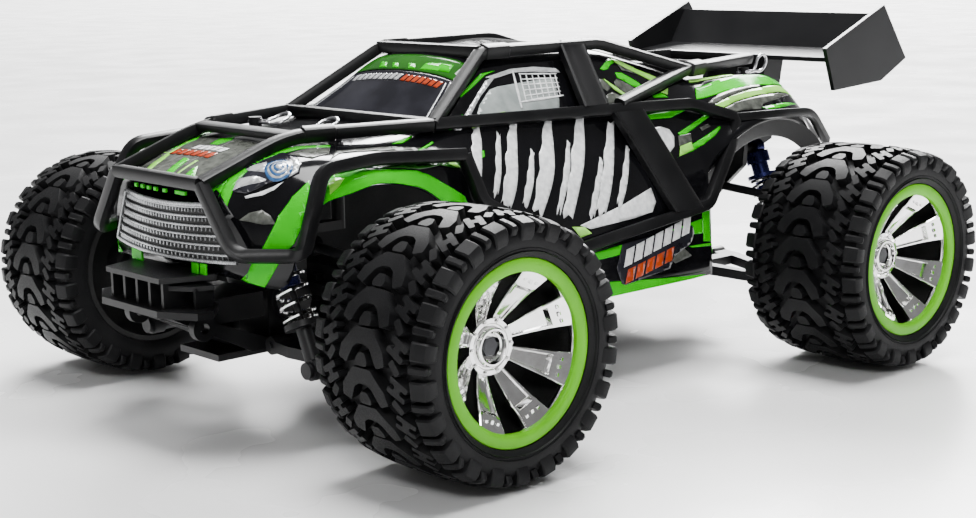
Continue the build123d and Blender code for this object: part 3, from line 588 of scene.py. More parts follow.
# Stations from nose to tail: y, then the half outline (x, z) from the lower edge to the top middle:
# lower edge, side, shoulder, belt, roof edge or ridge, crown, middle.
STATIONS = [
    (-187.0, [(50, 74), (51.5, 84), (49, 95), (39.5, 107), (31.5, 110), (16, 111.4), (0, 112)]),
    (-178.0, [(59.5, 71), (62, 84), (58.5, 98), (43.5, 113), (34, 114.2), (17, 115.4), (0, 116)]),
    (-172.0, [(64, 74), (65, 86), (61.5, 101), (46, 115), (35, 116.2), (17, 117.4), (0, 118)]),
    (-167.0, [(67, 86), (67.5, 92), (64, 103), (48, 116.8), (36, 118.2), (18, 119.2), (0, 119.6)]),
    (-163.5, [(69, 97), (69, 101), (65.5, 106), (50, 118.2), (36, 119.4), (18, 120.4), (0, 120.9)]),
    (-156.0, [(73, 106.0), (71.6, 109), (66.5, 112), (53, 120), (37, 121.6), (18, 122.4), (0, 123)]),
    (-144.0, [(75, 109), (73.8, 113.4), (69, 115.4), (57, 121.6), (38, 124.2), (19, 125.2), (0, 125.8)]),
    (-131.0, [(76.5, 111.5), (74.6, 115.8), (70, 117.0), (56, 122.2), (39, 124.8), (19, 126.0), (0, 126.6)]),
    (-112.0, [(77, 108.3), (74.8, 113.8), (71, 116.8), (56, 122.8), (40, 125.4), (20, 126.6), (0, 127.2)]),
    (-94.0, [(76, 97.9), (74.2, 106.0), (71, 115.8), (56, 123.6), (46, 126.0), (22, 127.2), (0, 127.8)]),
    (-82.0, [(75, 84), (73.5, 96), (70, 113), (56, 124.2), (50, 126.6), (23, 128.0), (0, 128.8)]),
    (-76.0, [(75, 74), (73.5, 90), (69.5, 112), (56, 124.6), (47.5, 130.4), (22, 132.6), (0, 133.4)]),
    (-64.0, [(76, 46), (75.5, 68), (69, 108), (56.5, 125.0), (43.2, 138.4), (21, 141.4), (0, 142.4)]),
    (-40.0, [(77, 43.5), (77.2, 66), (69, 104), (57, 125.4), (35.0, 154.2), (20, 156.6), (0, 157.6)]),
    (-28.0, [(77.5, 43.5), (78, 66), (69.5, 103), (57.2, 125.6), (34.8, 156.2), (21, 158.4), (0, 161.0)]),
    (-5.0, [(78, 43.5), (78, 66), (70, 102), (57.6, 125.6), (35.2, 156.6), (22, 158.6), (0, 162.4)]),
    (20.0, [(78, 43.5), (78, 68), (70.5, 101), (58.0, 125.4), (35.8, 156.4), (22, 158.2), (0, 160.0)]),
    (40.0, [(78, 43.5), (77.6, 70), (71, 101), (58.4, 125.0), (36.4, 155.0), (22, 156.4), (0, 157.0)]),
    (62.0, [(78, 43.5), (77.2, 72), (71.5, 101), (59.0, 124.4), (38.4, 149.4), (24, 151.0), (0, 151.6)]),
    (79.0, [(78, 43.5), (76.8, 75), (72, 101), (59.6, 124.0), (40.2, 144.2), (26, 145.6), (0, 146.4)]),
    (80.2, [(72, 88.8), (74, 93.0), (71.8, 103), (59.6, 124.0), (40.3, 143.8), (26, 145.2), (0, 146.0)]),
    (94.0, [(74, 104.2), (74.5, 107.6), (70.5, 112), (60.4, 124.4), (41.4, 139.6), (28, 140.6), (0, 141.0)]),
    (106.0, [(75, 111.3), (75, 114.2), (70.6, 117.4), (61.2, 127.0), (43.0, 137.0), (29, 136.2), (0, 134.6)]),
    (118.0, [(75.4, 115.2), (75, 117.8), (70.8, 120.6), (61.8, 130.2), (46.5, 138.2), (29, 134.6),
             (0, 130.6)]),
    (131.0, [(75.4, 116.5), (75, 119.2), (70.6, 122.2), (61.6, 132.2), (49.5, 139.0), (29, 134.2),
             (0, 129.6)]),
    (146.0, [(74.6, 114.7), (74, 117.6), (69.8, 121.4), (61, 131.6), (50.5, 138.6), (29, 133.8), (0, 129.0)]),
    (160.0, [(72.4, 109.4), (71.8, 112.6), (68, 117.4), (60, 127.6), (50.5, 134.8), (29, 132.8), (0, 128.0)]),
    (172.0, [(69, 101.2), (68.4, 105), (65.4, 110.6), (58.6, 120.4), (50, 127.2), (28, 127.0), (0, 124.0)]),
    (182.0, [(65, 98.4), (65, 101.6), (62.6, 106), (57, 112.6), (49, 118.4), (27, 119.4), (0, 118.0)]),
    (190.0, [(61, 98.4), (61.4, 100.6), (59.4, 103), (55, 106.4), (48, 109.6), (26, 111.4), (0, 111.6)]),
]
NOSE_BOW = 7.5              # how far the nose's corners sit behind its middle
NOSE_BOW_X = 50.0
NOSE_BOW_END = -166.0
ARCH_LIPS = {"rear": (36.0, 152.0)}    # angles that the inner lip of an arch spans
LIP_X = 70.5
LIP_WIDTH = 9.0
WING_SLOT = (25.0, 174.0)   # opening in the tail: half width, where it starts
KEYS = 7                    # points of a station's half outline
KEY_STEPS = (3, 6, 6, 7, 4, 4)    # facets between them
STEP_Y = 2.4                # length of a facet


def smooth_between(stations, y):
    """Half outline at y: each key point follows a monotone cubic through the stations."""
    ys = [s[0] for s in stations]
    i = max(0, min(len(ys) - 2, sum(1 for v in ys if v <= y) - 1))
    y0, y1 = ys[i], ys[i + 1]
    t = (y - y0) / (y1 - y0)
    out = []
    for key in range(KEYS):
        point = []
        for axis in (0, 1):
            values = [s[1][key][axis] for s in stations]
            slopes = []
            for n in (i, i + 1):
                if n == 0 or n == len(ys) - 1:
                    slopes.append((values[i + 1] - values[i]) / (y1 - y0))
                    continue
                left = (values[n] - values[n - 1]) / (ys[n] - ys[n - 1])
                right = (values[n + 1] - values[n]) / (ys[n + 1] - ys[n])
                slopes.append(0.0 if left * right <= 0 else 2 * left * right / (left + right))
            h = y1 - y0
            a, b = values[i], values[i + 1]
            point.append(a * (2 * t ** 3 - 3 * t ** 2 + 1) + slopes[0] * h * (t ** 3 - 2 * t ** 2 + t)
                         + b * (3 * t ** 2 - 2 * t ** 3) + slopes[1] * h * (t ** 3 - t ** 2))
        out.append(point)
    return out


def cross_points(half):
    """Fine half outline with softened key corners."""
    points = []
    for key, steps in zip(range(KEYS - 1), KEY_STEPS):
        a, b = Vector(half[key]), Vector(half[key + 1])
        for n in range(steps):
            points.append(a.lerp(b, n / steps))
    points.append(Vector(half[-1]))
    for _ in range(2):
        inner = [(a + b * 2 + c) / 4 for a, b, c in zip(points, points[1:], points[2:])]
        points = [points[0]] + inner + [points[-1]]
    return points


def bowed(x, y):
    """y moved back towards the nose's corners."""
    fade = max(0.0, min(1.0, (NOSE_BOW_END - y) / (NOSE_BOW_END - STATIONS[0][0])))
    return y + NOSE_BOW * (x / NOSE_BOW_X) ** 2 * fade


def shell_rows():
    """Rows of points from nose to tail, each from the right lower edge over the top to the left."""
    first, last = STATIONS[0][0], STATIONS[-1][0]
    ys = []
    y = first
    while y < last - 0.5 * STEP_Y:
        ys.append(y)
        y += STEP_Y
    ys += [last, 79.0, 80.2]
    rows = []
    for y in sorted(set(ys)):
        if 79.0 < y < 80.2:
            continue
        half = cross_points(smooth_between(STATIONS, y))
        left = [Vector((p.x, bowed(p.x, y), p.y)) for p in half]
        rows.append([Vector((-p.x, p.y, p.z)) for p in left] + list(reversed(left))[1:])
    return rows


def shell_surface():
    """Open bmesh of the shell's outer surface, nose face included."""
    bm = bmesh.new()
    rows = [[bm.verts.new(p) for p in row] for row in shell_rows()]
    for a, b in zip(rows, rows[1:]):
        for i in range(len(a) - 1):
            bm.faces.new((a[i], a[i + 1], b[i + 1], b[i]))
    count = len(rows[0])
    for i in range(count // 2):
        j = count - 1 - i
        if j - i > 2:
            bm.faces.new((rows[0][i + 1], rows[0][i], rows[0][j], rows[0][j - 1]))
    return bm


def build_shell():
    bm = shell_surface()
    bmesh.ops.recalc_face_normals(bm, faces=bm.faces[:])
    if max(bm.faces, key=lambda f: f.calc_center_median().z).normal.z < 0:
        bmesh.ops.reverse_faces(bm, faces=bm.faces[:])
    tree = BVHTree.FromBMesh(bm)
    middles = {f: f.calc_center_median() for f in bm.faces}
    slot = [f for f, middle in middles.items() if abs(middle.x) < WING_SLOT[0] and middle.y > WING_SLOT[1]]
    bmesh.ops.delete(bm, geom=slot, context="FACES")
    coats = ["shell_paint", "inner_black"]
    piece = make_piece("painted_shell", bm, coats, "chassis", smooth=50)
    wall = piece.modifiers.new("wall", "SOLIDIFY")
    wall.thickness = SHELL_WALL * MM
    wall.offset = -1
    wall.material_offset = 1
    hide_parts("body_shell")
    return tree


def build_arch_lips():
    """Lip inside the edge of an arch."""
    lips = bmesh.new()
    for end, (first, last) in ARCH_LIPS.items():
        outer, inner = ARCH_R[end] + 0.6, ARCH_R[end] - LIP_WIDTH
        section = ((3.4, outer), (0.6, inner + 1.2), (-0.4, inner), (-1.2, inner + 0.6), (1.4, outer))
        rings = []
        for n in range(41):
            angle = math.radians(first + (last - first) * n / 40)
            c, s = math.cos(angle), math.sin(angle)
            x = LIP_X - 2.2 * c ** 2
            rings.append([Vector((x + dx, AXLE_Y[end] + r * c, AXLE_Z + r * s)) for dx, r in section])
        loft(lips, rings)
    mirror_copy(lips)
    make_piece("arch_lips", lips, "lip_black", "chassis", smooth=50)


# ---------------------------------------------------------------- livery, painted highlights and painted sheen
DECAL_STEP = 2.0
# Livery outlines, among them painted highlights in the light ink and painted sheen in the grey: ink, layer,
# plane, points.
# A plane is the angle above level from which it is seen square on, and a point in it is (y, height along the
# plane). The first list is mirrored to the other side.
MIRRORED_DECALS = [
    ("grey", 0, 90, [(-186.5, 0), (-186.5, -21), (-176, -27), (-158, -30), (-147, -30), (-147, 0)]),
    ("silver", 1, 90, [(-76.5, 45.8), (-76.5, 44.4), (-55, 35.2), (-55, 36.6)]),
    ("silver", 1, 90, [(-76.5, 42.6), (-76.5, 41.8), (-56, 33.2), (-56, 34)]),
    ("grey", 1, 90, [(-180, -27), (-176, -25), (-157, -27.5), (-158, -30), (-165.5, -30.5), (-177, -34.5),
     (-181, -35), (-182, -31)]),
    ("green", 1, 75, [(-182.5, -1.5), (-173, -2.5), (-184.5, -9)]),
    ("green", 1, 75, [(-185, -11), (-179, -5.5), (-170, 0.5), (-158.5, 5), (-150, 5.5), (-143.5, -0.5),
     (-129.5, -9), (-131.5, -11.5), (-141, -7.5), (-149, -6.5), (-154, -4.5), (-160.5, -4), (-168, -6),
     (-175.5, -9.5), (-181.5, -13), (-184.5, -15), (-184.5, -13)]),
    ("grey", 1, 75, [(-151, -8.5), (-141.5, -8), (-131.5, -11.5), (-138, -19.5), (-147.5, -20.5),
     (-149, -15.5)]),
    ("dark", 1, 75, [(-178.5, -11.5), (-172, -5), (-164.5, -2), (-156.5, -1), (-150.5, -5), (-150, -13),
     (-153.5, -21.5), (-157, -25.5), (-161.5, -24.5), (-167.5, -20), (-175, -16.5)]),
    ("silver", 2, 60, [(-178.5, 19.5), (-174, 23.5), (-170, 20), (-167.5, 14.5), (-168, 14), (-172, 16.5),
     (-176.5, 19)]),
    ("silver", 2, 90, [(-168.5, -36.5), (-165, -37), (-160.5, -40), (-165, -47), (-166.5, -46.5),
     (-168.5, -38.5)]),
    ("silver", 2, 75, [(-151.5, -11), (-152, -17), (-154.5, -22), (-157, -24.5), (-159, -24), (-160, -23.5),
     (-156.5, -20.5)]),
    ("white", 1, 45, [(-176, 44), (-172, 42.5), (-167.5, 41.5), (-163.5, 41), (-167, 40), (-171, 40.5),
     (-176, 43)]),
    ("grey", 1, 45, [(-180, 37), (-176.5, 37), (-173, 35), (-171.5, 31), (-171, 27), (-174, 29.5),
     (-177, 33.5)]),
    ("green", 1, 15, [(-156, 94), (-163, 80.5), (-167, 70), (-171, 64.6), (-175.5, 53), (-182, 53),
     (-178.5, 64.6), (-175.5, 70), (-173, 75.5), (-169.5, 82), (-164, 88.5)]),
    ("light", 2, 45, [(-151.5, 30.5), (-147.5, 32.5), (-144.5, 30.5), (-148.5, 27.5), (-153.5, 25.5)]),
    ("green", 1, 15, [(-157.5, 86), (-156, 91), (-152.5, 93.3), (-146.5, 95.5), (-138.5, 96), (-130, 94.2),
     (-118, 92.5), (-108.5, 91.3), (-101, 88.5), (-94.5, 85), (-87, 81.5), (-80.5, 78), (-79, 74), (-83, 74),
     (-96.5, 77), (-105.5, 80), (-113.5, 82), (-125, 84), (-140, 84), (-150, 82), (-158, 79), (-161, 78)]),
    ("deep", 0, 45, [(-139.5, 36), (-115, 33), (-96, 32), (-80, 33), (-79.5, 30), (-92.5, 31), (-106, 29.5),
     (-125, 32)]),
    ("light", 2, 45, [(-88, 33), (-82, 33), (-80, 30.5), (-82, 30.5), (-86.5, 32)]),
    ("grey", 0, 75, [(-142, -25.5), (-133, -20.5), (-118, -23.5), (-96, -29), (-88.5, -28.5), (-92, -27.5),
     (-111, -21), (-133, -17.5)]),
    ("green", 1, 60, [(-129, 6.5), (-116.5, 7.5), (-98.5, 6.5), (-85.5, 12), (-85, 11), (-99, 5),
     (-118, 6)]),
    ("green", 1, 75, [(-105, -20), (-95, -16), (-90, -15.5), (-92.5, -17.5), (-100, -21)]),
    ("glass", 0, 30, [(-53.5, 88.5), (-49, 93.5), (-39.5, 100.5), (-35, 101.5), (2.5, 103.5), (-1, 91.5),
     (-4.5, 85), (-40.5, 84.5), (-58, 84.5)]),
    ("light", 2, 45, [(-60.5, 50.5), (-51.5, 55.5), (-43, 56.5), (-36.5, 56.5), (-48, 52.5), (-58, 50)]),
    ("green", 1, 45, [(-57, 68.5), (-40, 77.5), (-31, 78), (-38, 76.5), (-47.5, 71.5), (-56.5, 67.5)]),
    ("green", 1, 45, [(-74.5, 53), (-60.5, 58.5), (-65, 54), (-71.5, 51.5)]),
    ("silver", 1, 45, [(-70, 51), (-60, 58), (-39.5, 73.5), (-32, 75.5), (-35.5, 73), (-47, 65.5),
     (-59.5, 55), (-66.5, 50.5)]),
    ("silver", 1, 30, [(-38.5, 107), (-22, 110), (-7, 110), (6.5, 108), (8, 105.5), (-8.5, 107.5),
     (-21, 108), (-33, 106)]),
    ("green", 1, 30, [(-68.5, 69.5), (-59.5, 70.5), (-60.5, 67.5), (-70, 64.5)]),
    ("white", 0, 15, [(-12, 57), (19.5, 63.5), (38.5, 69), (40.5, 62), (37, 57.5), (24.5, 56),
     (-5.5, 54.5)]),
    ("light", 1, 15, [(-17.5, 57), (-9.5, 56), (-5.5, 52.5), (-13, 51.5)]),
    ("green", 1, 0, [(-7.5, 65.5), (11, 67), (40.5, 68.5), (73, 72.5), (73, 65), (65.5, 65.5), (40, 64.5),
     (9.5, 62.5), (-4, 62)]),
    ("dark", 2, 0, [(9, 56.5), (13.5, 67.5), (64.5, 70), (65.5, 66), (63, 61.5), (50, 56.5), (47, 51),
     (15, 47.5), (12.5, 48.5)]),
    ("green", 1, 0, [(78.5, 59), (79, 57), (79, 54.5), (79, 54.5)]),
    ("green", 1, 0, [(-8, 52), (15, 49.5), (45, 46.5), (74, 44.3), (60, 42), (-8, 42)]),
    ("green", 1, 0, [(61.5, 60), (78.5, 59.5), (79, 58), (64, 59)]),
    ("grey", 1, 0, [(48.5, 55), (56.5, 60.5), (63.5, 55), (51, 53)]),
    ("green", 1, 30, [(67.5, 66.5), (87, 72.5), (91.5, 74), (93.5, 72.5), (83.5, 69), (73.5, 65.5),
     (68.5, 65)]),
    ("green", 1, 30, [(60.5, 54), (75.5, 60), (86.5, 63), (95.5, 66), (95, 64.5), (90, 61.5), (81.5, 58.5),
     (72, 56), (61.5, 54.5)]),
    ("light", 2, 30, [(65.5, 59.5), (74.5, 61), (74, 57), (62.5, 54.5)]),
    ("grey", 1, 30, [(67, 65), (76.5, 65.5), (75, 61), (65, 59.5)]),
    ("grey", 1, 30, [(83.5, 67.5), (89.5, 68.5), (90.5, 67), (84, 65.5)]),
    ("white", 1, 30, [(50.5, 71), (57.5, 71), (62.5, 69), (64, 65), (61.5, 60), (56, 56.5), (52.5, 64.5)]),
    ("green", 1, 30, [(48.5, 78), (64.5, 78.5), (83, 79), (80, 78), (67, 75), (48.5, 75.5)]),
    ("light", 2, 75, [(98.5, -8.5), (104, -3), (111.5, -2.5), (122, -5), (129.5, -9), (128, -13), (118, -11),
     (108.5, -8)]),
    ("green", 1, 60, [(92, 16), (99, 24.5), (113.5, 25.5), (125.5, 24.5), (142.5, 23.5), (160.5, 22),
     (166.5, 18.5), (145, 14.2), (127.5, 14.8), (116.5, 15.2), (106, 16.2)]),
    ("grey", 1, 60, [(97, 12.5), (107.5, 15.5), (119, 15.5), (136.5, 14.5), (137.5, 13.5), (121.5, 12),
     (110.5, 12), (101, 10.5)]),
    ("light", 1, 45, [(99.5, 45.5), (110, 47.5), (122.5, 48.5), (136.5, 49.5), (157.5, 52), (167.5, 49),
     (171, 45.5), (158, 47), (138, 45.5), (122.5, 44.5), (112, 44), (104, 42.5)]),
    ("grey", 1, 45, [(103.5, 42), (113.5, 43.5), (126, 44), (143, 45), (165, 47), (143.5, 41.5), (128.5, 39),
     (125, 36), (113.5, 38), (107, 38)]),
    ("green", 1, 45, [(126, 37), (137, 38), (155.5, 40), (169, 42), (146.5, 36.5), (132, 35)]),
    ("green", 1, 0, [(72.5, 79), (79.2, 80), (79.2, 60), (72.5, 61)]),
    ("green", 1, 45, [(35, 73.5), (46, 79.5), (47.5, 78.5), (47.5, 76.5), (44, 75.5), (40.5, 73),
     (37, 72.5)]),
    ("light", 1, 45, [(47, 79.5), (51.5, 78.5), (63.5, 72), (74.5, 67), (68.5, 64.5), (62, 69), (54, 73.5),
     (49, 76.5)]),
    ("grey", 2, 45, [(49.5, 76), (54, 73), (61.5, 69), (56.5, 70.5), (50, 72)]),
    ("green", 1, 45, [(44.5, 71), (49, 70.5), (55, 66.5), (60, 62), (55, 60.5), (49, 65), (44, 68)]),
    ("grey", 0, 30, [(43.5, 99.5), (49.5, 96), (54, 92.5), (45, 90), (42, 92), (40, 96), (40.5, 98)]),
    ("grey", 0, 30, [(31.5, 100.5), (34.5, 99.5), (37, 95), (32.5, 93), (30.5, 95), (29.5, 98)]),
    ("light", 2, 30, [(34, 100), (35, 99.5), (44.5, 90), (42.5, 89), (37.5, 93.5)]),
    ("grey", 0, 30, [(30.5, 91), (35.5, 92.5), (42, 88.5), (32.5, 86), (29, 86.5)]),
    ("light", 1, 45, [(70, 58), (77.5, 60.5), (73.5, 56)]),
    ("green", 1, 45, [(62, 56.5), (70, 57.5), (73, 54.5), (62.5, 55)]),
]
MIDDLE_DECALS = [
    ("light", 1, 90, [(-183, 20.5), (-183, 16.5), (-153.5, 29), (-147, 40)]),
    ("green", 1, 90, [(-185, 2), (-185, -3.5), (-170, 3.5), (-169, 9)]),
    ("light", 1, 90, [(-185.5, -5.5), (-185, -6.5), (-170, -3.5), (-170.5, -2)]),
    ("green", 1, 90, [(-185, -12), (-176.5, -9), (-173.5, -8.5), (-182, -18.5), (-185.5, -20)]),
    ("green", 1, 90, [(-154.5, 11), (-147.5, 12.5), (-143.5, 7.5), (-148.5, 2.5), (-154.5, 4.5)]),
    ("green", 2, 90, [(-52.5, -11.5), (-48.5, -11.5), (-46.5, -28.5), (-51, -30)]),
    ("green", 2, 90, [(-52.5, -3), (-49.5, 0), (-49.5, -5), (-52.5, -8)]),
    ("green", 2, 90, [(-52.5, 8.5), (-49.5, 11.5), (-49.5, 7.5), (-52.5, 4)]),
    ("green", 2, 90, [(-52.5, 18.5), (-48.5, 21.5), (-49, 16.5), (-52.5, 13)]),
    ("dark", 0, 90, [(-77.5, -46), (-77.5, 46), (-54, 36.5), (-54, -36.5)]),
    ("deep", 1, 90, [(-53.5, -36), (-53.5, 36), (-43, 33.5), (-43, -33.5)]),
]
HEADLIGHT = (-161.2, 16.3)
HEADLIGHT_ACROSS = (3.9, -3.8)
HEADLIGHT_UP = (4.2, 5.8)
NET_CORNERS = ((-21.0, 108.3), (5.4, 106.0), (1.1, 91.1), (-26.3, 89.5))


def plane_ray(plane, u, v):
    """Start and direction of the ray that looks square onto a livery plane."""
    tilt = math.radians(plane)
    out = Vector((math.cos(tilt), 0, math.sin(tilt)))
    up = Vector((-math.sin(tilt), 0, math.cos(tilt)))
    return Vector((0, u, 0)) + up * v + out * 240, -out


def on_shell(plane, u, v, lift):
    """Point just above the shell; points off its edge snap to it when they are near."""
    start, ahead = plane_ray(plane, u, v)
    place, normal, _, _ = shell_tree.ray_cast(start, ahead)
    if place is None:
        near = [shell_tree.find_nearest(start + ahead * d, 7.0) for d in range(100, 260, 4)]
        near = [n for n in near if n[0] is not None]
        if not near:
            return None
        place, normal, _, _ = min(near, key=lambda n: n[3])
    if normal.dot(ahead) > 0:
        normal = -normal
    return place + normal * lift


def lay_decal(bm, plane, outline, layer):
    """Drape a flat outline on the shell."""
    flat = bmesh.new()
    flat.faces.new([flat.verts.new((u, v, 0)) for u, v in outline])
    for axis in (0, 1):
        values = [p[axis] for p in outline]
        place = min(values) + DECAL_STEP / 2
        while place < max(values):
            cut_flat(flat, axis, place)
            place += DECAL_STEP
    bmesh.ops.triangulate(flat, faces=[f for f in flat.faces if len(f.verts) > 4])
    lift = 0.22 + 0.1 * layer
    spots = {v: on_shell(plane, v.co.x, v.co.y, lift) for v in flat.verts}
    made = {v: bm.verts.new(spot) for v, spot in spots.items() if spot is not None}
    for face in flat.faces:
        if all(v in made for v in face.verts):
            corners = [made[v].co for v in face.verts]
            if max((a - b).length for a in corners for b in corners) < 5 * DECAL_STEP:
                bm.faces.new([made[v] for v in face.verts])
    flat.free()


def ellipse(size, count=28):
    """Outline of a headlight ring."""
    points = []
    for n in range(count):
        c, s = math.cos(math.tau * n / count) * size, math.sin(math.tau * n / count) * size
        points.append((HEADLIGHT[0] + HEADLIGHT_ACROSS[0] * c + HEADLIGHT_UP[0] * s,
                       HEADLIGHT[1] + HEADLIGHT_ACROSS[1] * c + HEADLIGHT_UP[1] * s))
    return points


def band(points, width):
    """Outline of a stripe along a 2D polyline, tapered at its ends."""
    left, right = [], []
    last = len(points) - 1
    for i, point in enumerate(points):
        here = Vector(point)
        along = (Vector(points[min(i + 1, last)]) - Vector(points[max(i - 1, 0)])).normalized()
        half = width / 2 * (0.5 if i in (0, last) else 1)
        left.append(tuple(here + Vector((-along.y, along.x)) * half))
        right.append(tuple(here - Vector((-along.y, along.x)) * half))
    return left + right[::-1]


def net_decals():
    """White window net: a frame and a grid of cords."""
    a, b, c, d = (Vector(p) for p in NET_CORNERS)

    def spot(u, v):
        return a * (1 - u) * (1 - v) + b * u * (1 - v) + c * u * v + d * (1 - u) * v

    lines = [(spot(0, -0.04), spot(0, 0.55), spot(0, 1.04), 1.5)]
    for u in (0.14, 0.28, 0.42, 0.56, 0.7, 0.84, 0.96):
        lines.append((spot(u, 0.04), spot(u, 0.45), spot(u, 0.86), 0.8))
    lines += [(spot(0.12, v), spot(0.55, v), spot(1.0, v), 0.8) for v in (0.06, 0.22, 0.38, 0.54, 0.7)]
    lines.append((spot(0.0, 0.86), spot(0.5, 0.86), spot(1.04, 0.86), 1.4))
    return [("white", 2, 30, band(line[:3], line[3])) for line in lines]


# Slanted brush slashes on the door, (y, height) in a plane 15 degrees above level: start, end, width.
STROKES = [
    ((-70, 86), (-58, 108), 6.5), ((-61, 77), (-47, 104), 4.0), ((-56, 71), (-36, 108), 8.5),
    ((-44, 70), (-31, 94), 4.5), ((-37, 66), (-14, 108), 9.5), ((-24, 65), (-7, 96), 4.0),
    ((-19, 62), (6, 107), 9.0), ((-4, 60), (10, 86), 4.5), ((2, 61), (25, 103), 8.0),
    ((15, 63), (30, 90), 4.5),
]
# Slanted bars on the rocker's badge: ink, y, height of the foot, height, width.
BADGE_BARS = [("white", y, 56.2 + 0.22 * (y - 14), 8.2, 5.6) for y in range(14, 57, 7)]
BADGE_BARS += [("orange", y, 48.2 + 0.2 * (y - 15), 6.6, 5.4) for y in range(15, 44, 7)]
# Slanted bars across the windscreen and the hood: ink, plane height of the first, y, count, size.
CROSS_BARS = [("silver", 31.0, -59.5, 9, 3.4), ("orange", -5.0, -59.5, 7, 3.4),
              ("orange", 24.0, -167.0, 6, 4.6), ("white", 16.0, -161.0, 5, 4.2)]
HEADLIGHT_RINGS = (1.0, 0.82, 0.68, 0.52, 0.38, 0.22)
MARK_LIFT = 3               # layer of the badge, the bars and the headlight


def torn_stroke(start, end, width, seed):
    """Brush stroke with ragged edges and torn ends."""
    start, end = Vector(start), Vector(end)
    along = (end - start).normalized()
    side = Vector((-along.y, along.x))
    count = 15
    left, right = [], []
    for n in range(count):
        t = n / (count - 1)
        wobble = math.sin(seed * 12.9 + n * 4.7)
        other = math.sin(seed * 7.3 + n * 5.9)
        here = start.lerp(end, t)
        swell = width / 2 * (0.55 + 0.45 * math.sin(math.pi * min(1.0, 0.12 + t)) ** 0.6)
        left.append(tuple(here + side * swell * (0.86 + 0.14 * wobble) + along * wobble * 0.5))
        right.append(tuple(here - side * swell * (0.86 + 0.14 * other) + along * other * 0.5))

    def torn(place, k, phase):
        return tuple(place + side * width * k + along * (2.4 * math.sin(phase + k * 40)))

    head = [torn(end, k, seed * 3.1) for k in (0.25, 0, -0.25)]
    foot = [torn(start, k, seed * 5.3) for k in (-0.25, 0, 0.25)]
    return left + head + right[::-1] + foot


def build_livery_and_painted_light():
    decals = MIRRORED_DECALS + net_decals()
    for number, (start, end, width) in enumerate(STROKES):
        decals.append(("white", 2, 15, torn_stroke(start, end, width, number)))
    for number, size in enumerate(HEADLIGHT_RINGS):
        decals.append((("blue", "silver")[number % 2], MARK_LIFT + number, 60, ellipse(size)))
    for ink, y, z, height, width in BADGE_BARS:
        lean, rise = height * 0.28, 0.2 * width
        top = z + height
        bar = [(y, z), (y + width, z + rise), (y + width + lean, top + rise), (y + lean, top)]
        decals.append((ink, MARK_LIFT, 0, bar))
    sheets = {}
    for ink, layer, plane, outline in decals:
        lay_decal(sheets.setdefault(ink, bmesh.new()), plane, outline, layer)
    for bm in sheets.values():
        mirror_copy(bm)
    for ink, layer, plane, outline in MIDDLE_DECALS:
        lay_decal(sheets[ink], plane, outline, layer)
    for ink, first, y, count, size in CROSS_BARS:
        for n in range(count):
            q = first - n * size * 1.15
            bar = [(y, q), (y, q - size * 0.85), (y + size, q - size * 0.85 - 1), (y + size, q - 1)]
            lay_decal(sheets[ink], 90, bar, MARK_LIFT)
    # One sheet per ink; the light and grey sheets carry painted highlights and painted sheen besides the
    # livery print.
    for ink, bm in sheets.items():
        piece = make_piece("livery_decal_" + ink, bm, "decal_" + ink, "chassis", smooth=40)
        film = piece.modifiers.new("film", "SOLIDIFY")
        film.thickness = 0.12 * MM
        film.offset = -1


# ---------------------------------------------------------------- grille
GRILLE_LOW = (46.5, 81.6)
GRILLE_HIGH = (31.5, 104.6)
GRILLE_Y = -187.2
GRILLE_ROWS = 6
GRILLE_CELLS = 30
# Green marks above and below the grille, x from and to.
MARKS_ABOVE = ((-22, -20), (-16, -13.6), (-10.4, -8), (-4.6, -2.4), (2.4, 5), (11, 19), (28, 31.4))
MARKS_BELOW = ((19.5, 24), (24.8, 29), (-24, -19.5), (-29, -24.8))


def build_grille():
    """Slats, mesh and bright frame in the nose, bulging slightly forward."""
    def spot(u, t, out=0.0):
        half = GRILLE_LOW[0] + (GRILLE_HIGH[0] - GRILLE_LOW[0]) * t
        z = GRILLE_LOW[1] + (GRILLE_HIGH[1] - GRILLE_LOW[1]) * t
        return Vector((half * u, bowed(half * u, GRILLE_Y) - out, z - 1.4 * (1 - u * u)))

    bright = bmesh.new()
    dark = bmesh.new()
    steps = [n / 12 for n in range(-12, 13)]
    for t in (0.0, 1.0):
        sweep(bright, [spot(u, t, 0.8) for u in steps], rounded_square(1.6, 1.5, 0.4))
    for sign in (-1, 1):
        sweep(bright, [spot(sign, t, 0.8) for t in (0, 0.5, 1)], rounded_square(1.5, 1.2, 0.4), up=(1, 0, 0))
    for n in range(GRILLE_ROWS):
        t = (n + 0.5) / GRILLE_ROWS
        sweep(bright, [spot(u * 0.97, t + 0.035, 0.5) for u in steps], rounded_square(0.9, 1.0, 0.3))
        for k in range(GRILLE_CELLS):
            u = -0.94 + 1.88 * (k + 0.5) / GRILLE_CELLS
            low, high = spot(u, t - 0.055, 0.35), spot(u, t + 0.005, 0.35)
            add_box(bright, (low.x - 0.45, low.y - 0.3, low.z), (high.x + 0.45, low.y + 0.5, high.z))
    rings = [[spot(u, 0.0, 0.1), spot(u, 1.0, 0.1), spot(u, 1.0, -0.9), spot(u, 0.0, -0.9)] for u in steps]
    loft(dark, rings)
    make_piece("grille_slats", bright, "grille_metal", "chassis", smooth=30)
    make_piece("grille_back", dark, "inner_black", "chassis", smooth=30)
    teeth = bmesh.new()
    for x0, x1 in MARKS_ABOVE:
        y = bowed((x0 + x1) / 2, GRILLE_Y)
        add_box(teeth, (x0, y - 0.7, 107.0), (x1, y + 0.6, 108.8))
    for x0, x1 in MARKS_BELOW:
        y = bowed((x0 + x1) / 2, GRILLE_Y)
        add_box(teeth, (x0, y - 0.5, 74.6), (x1, y + 0.6, 79.4))
    bevel(make_piece("grille_marks", teeth, "decal_green", "chassis"), 0.3)


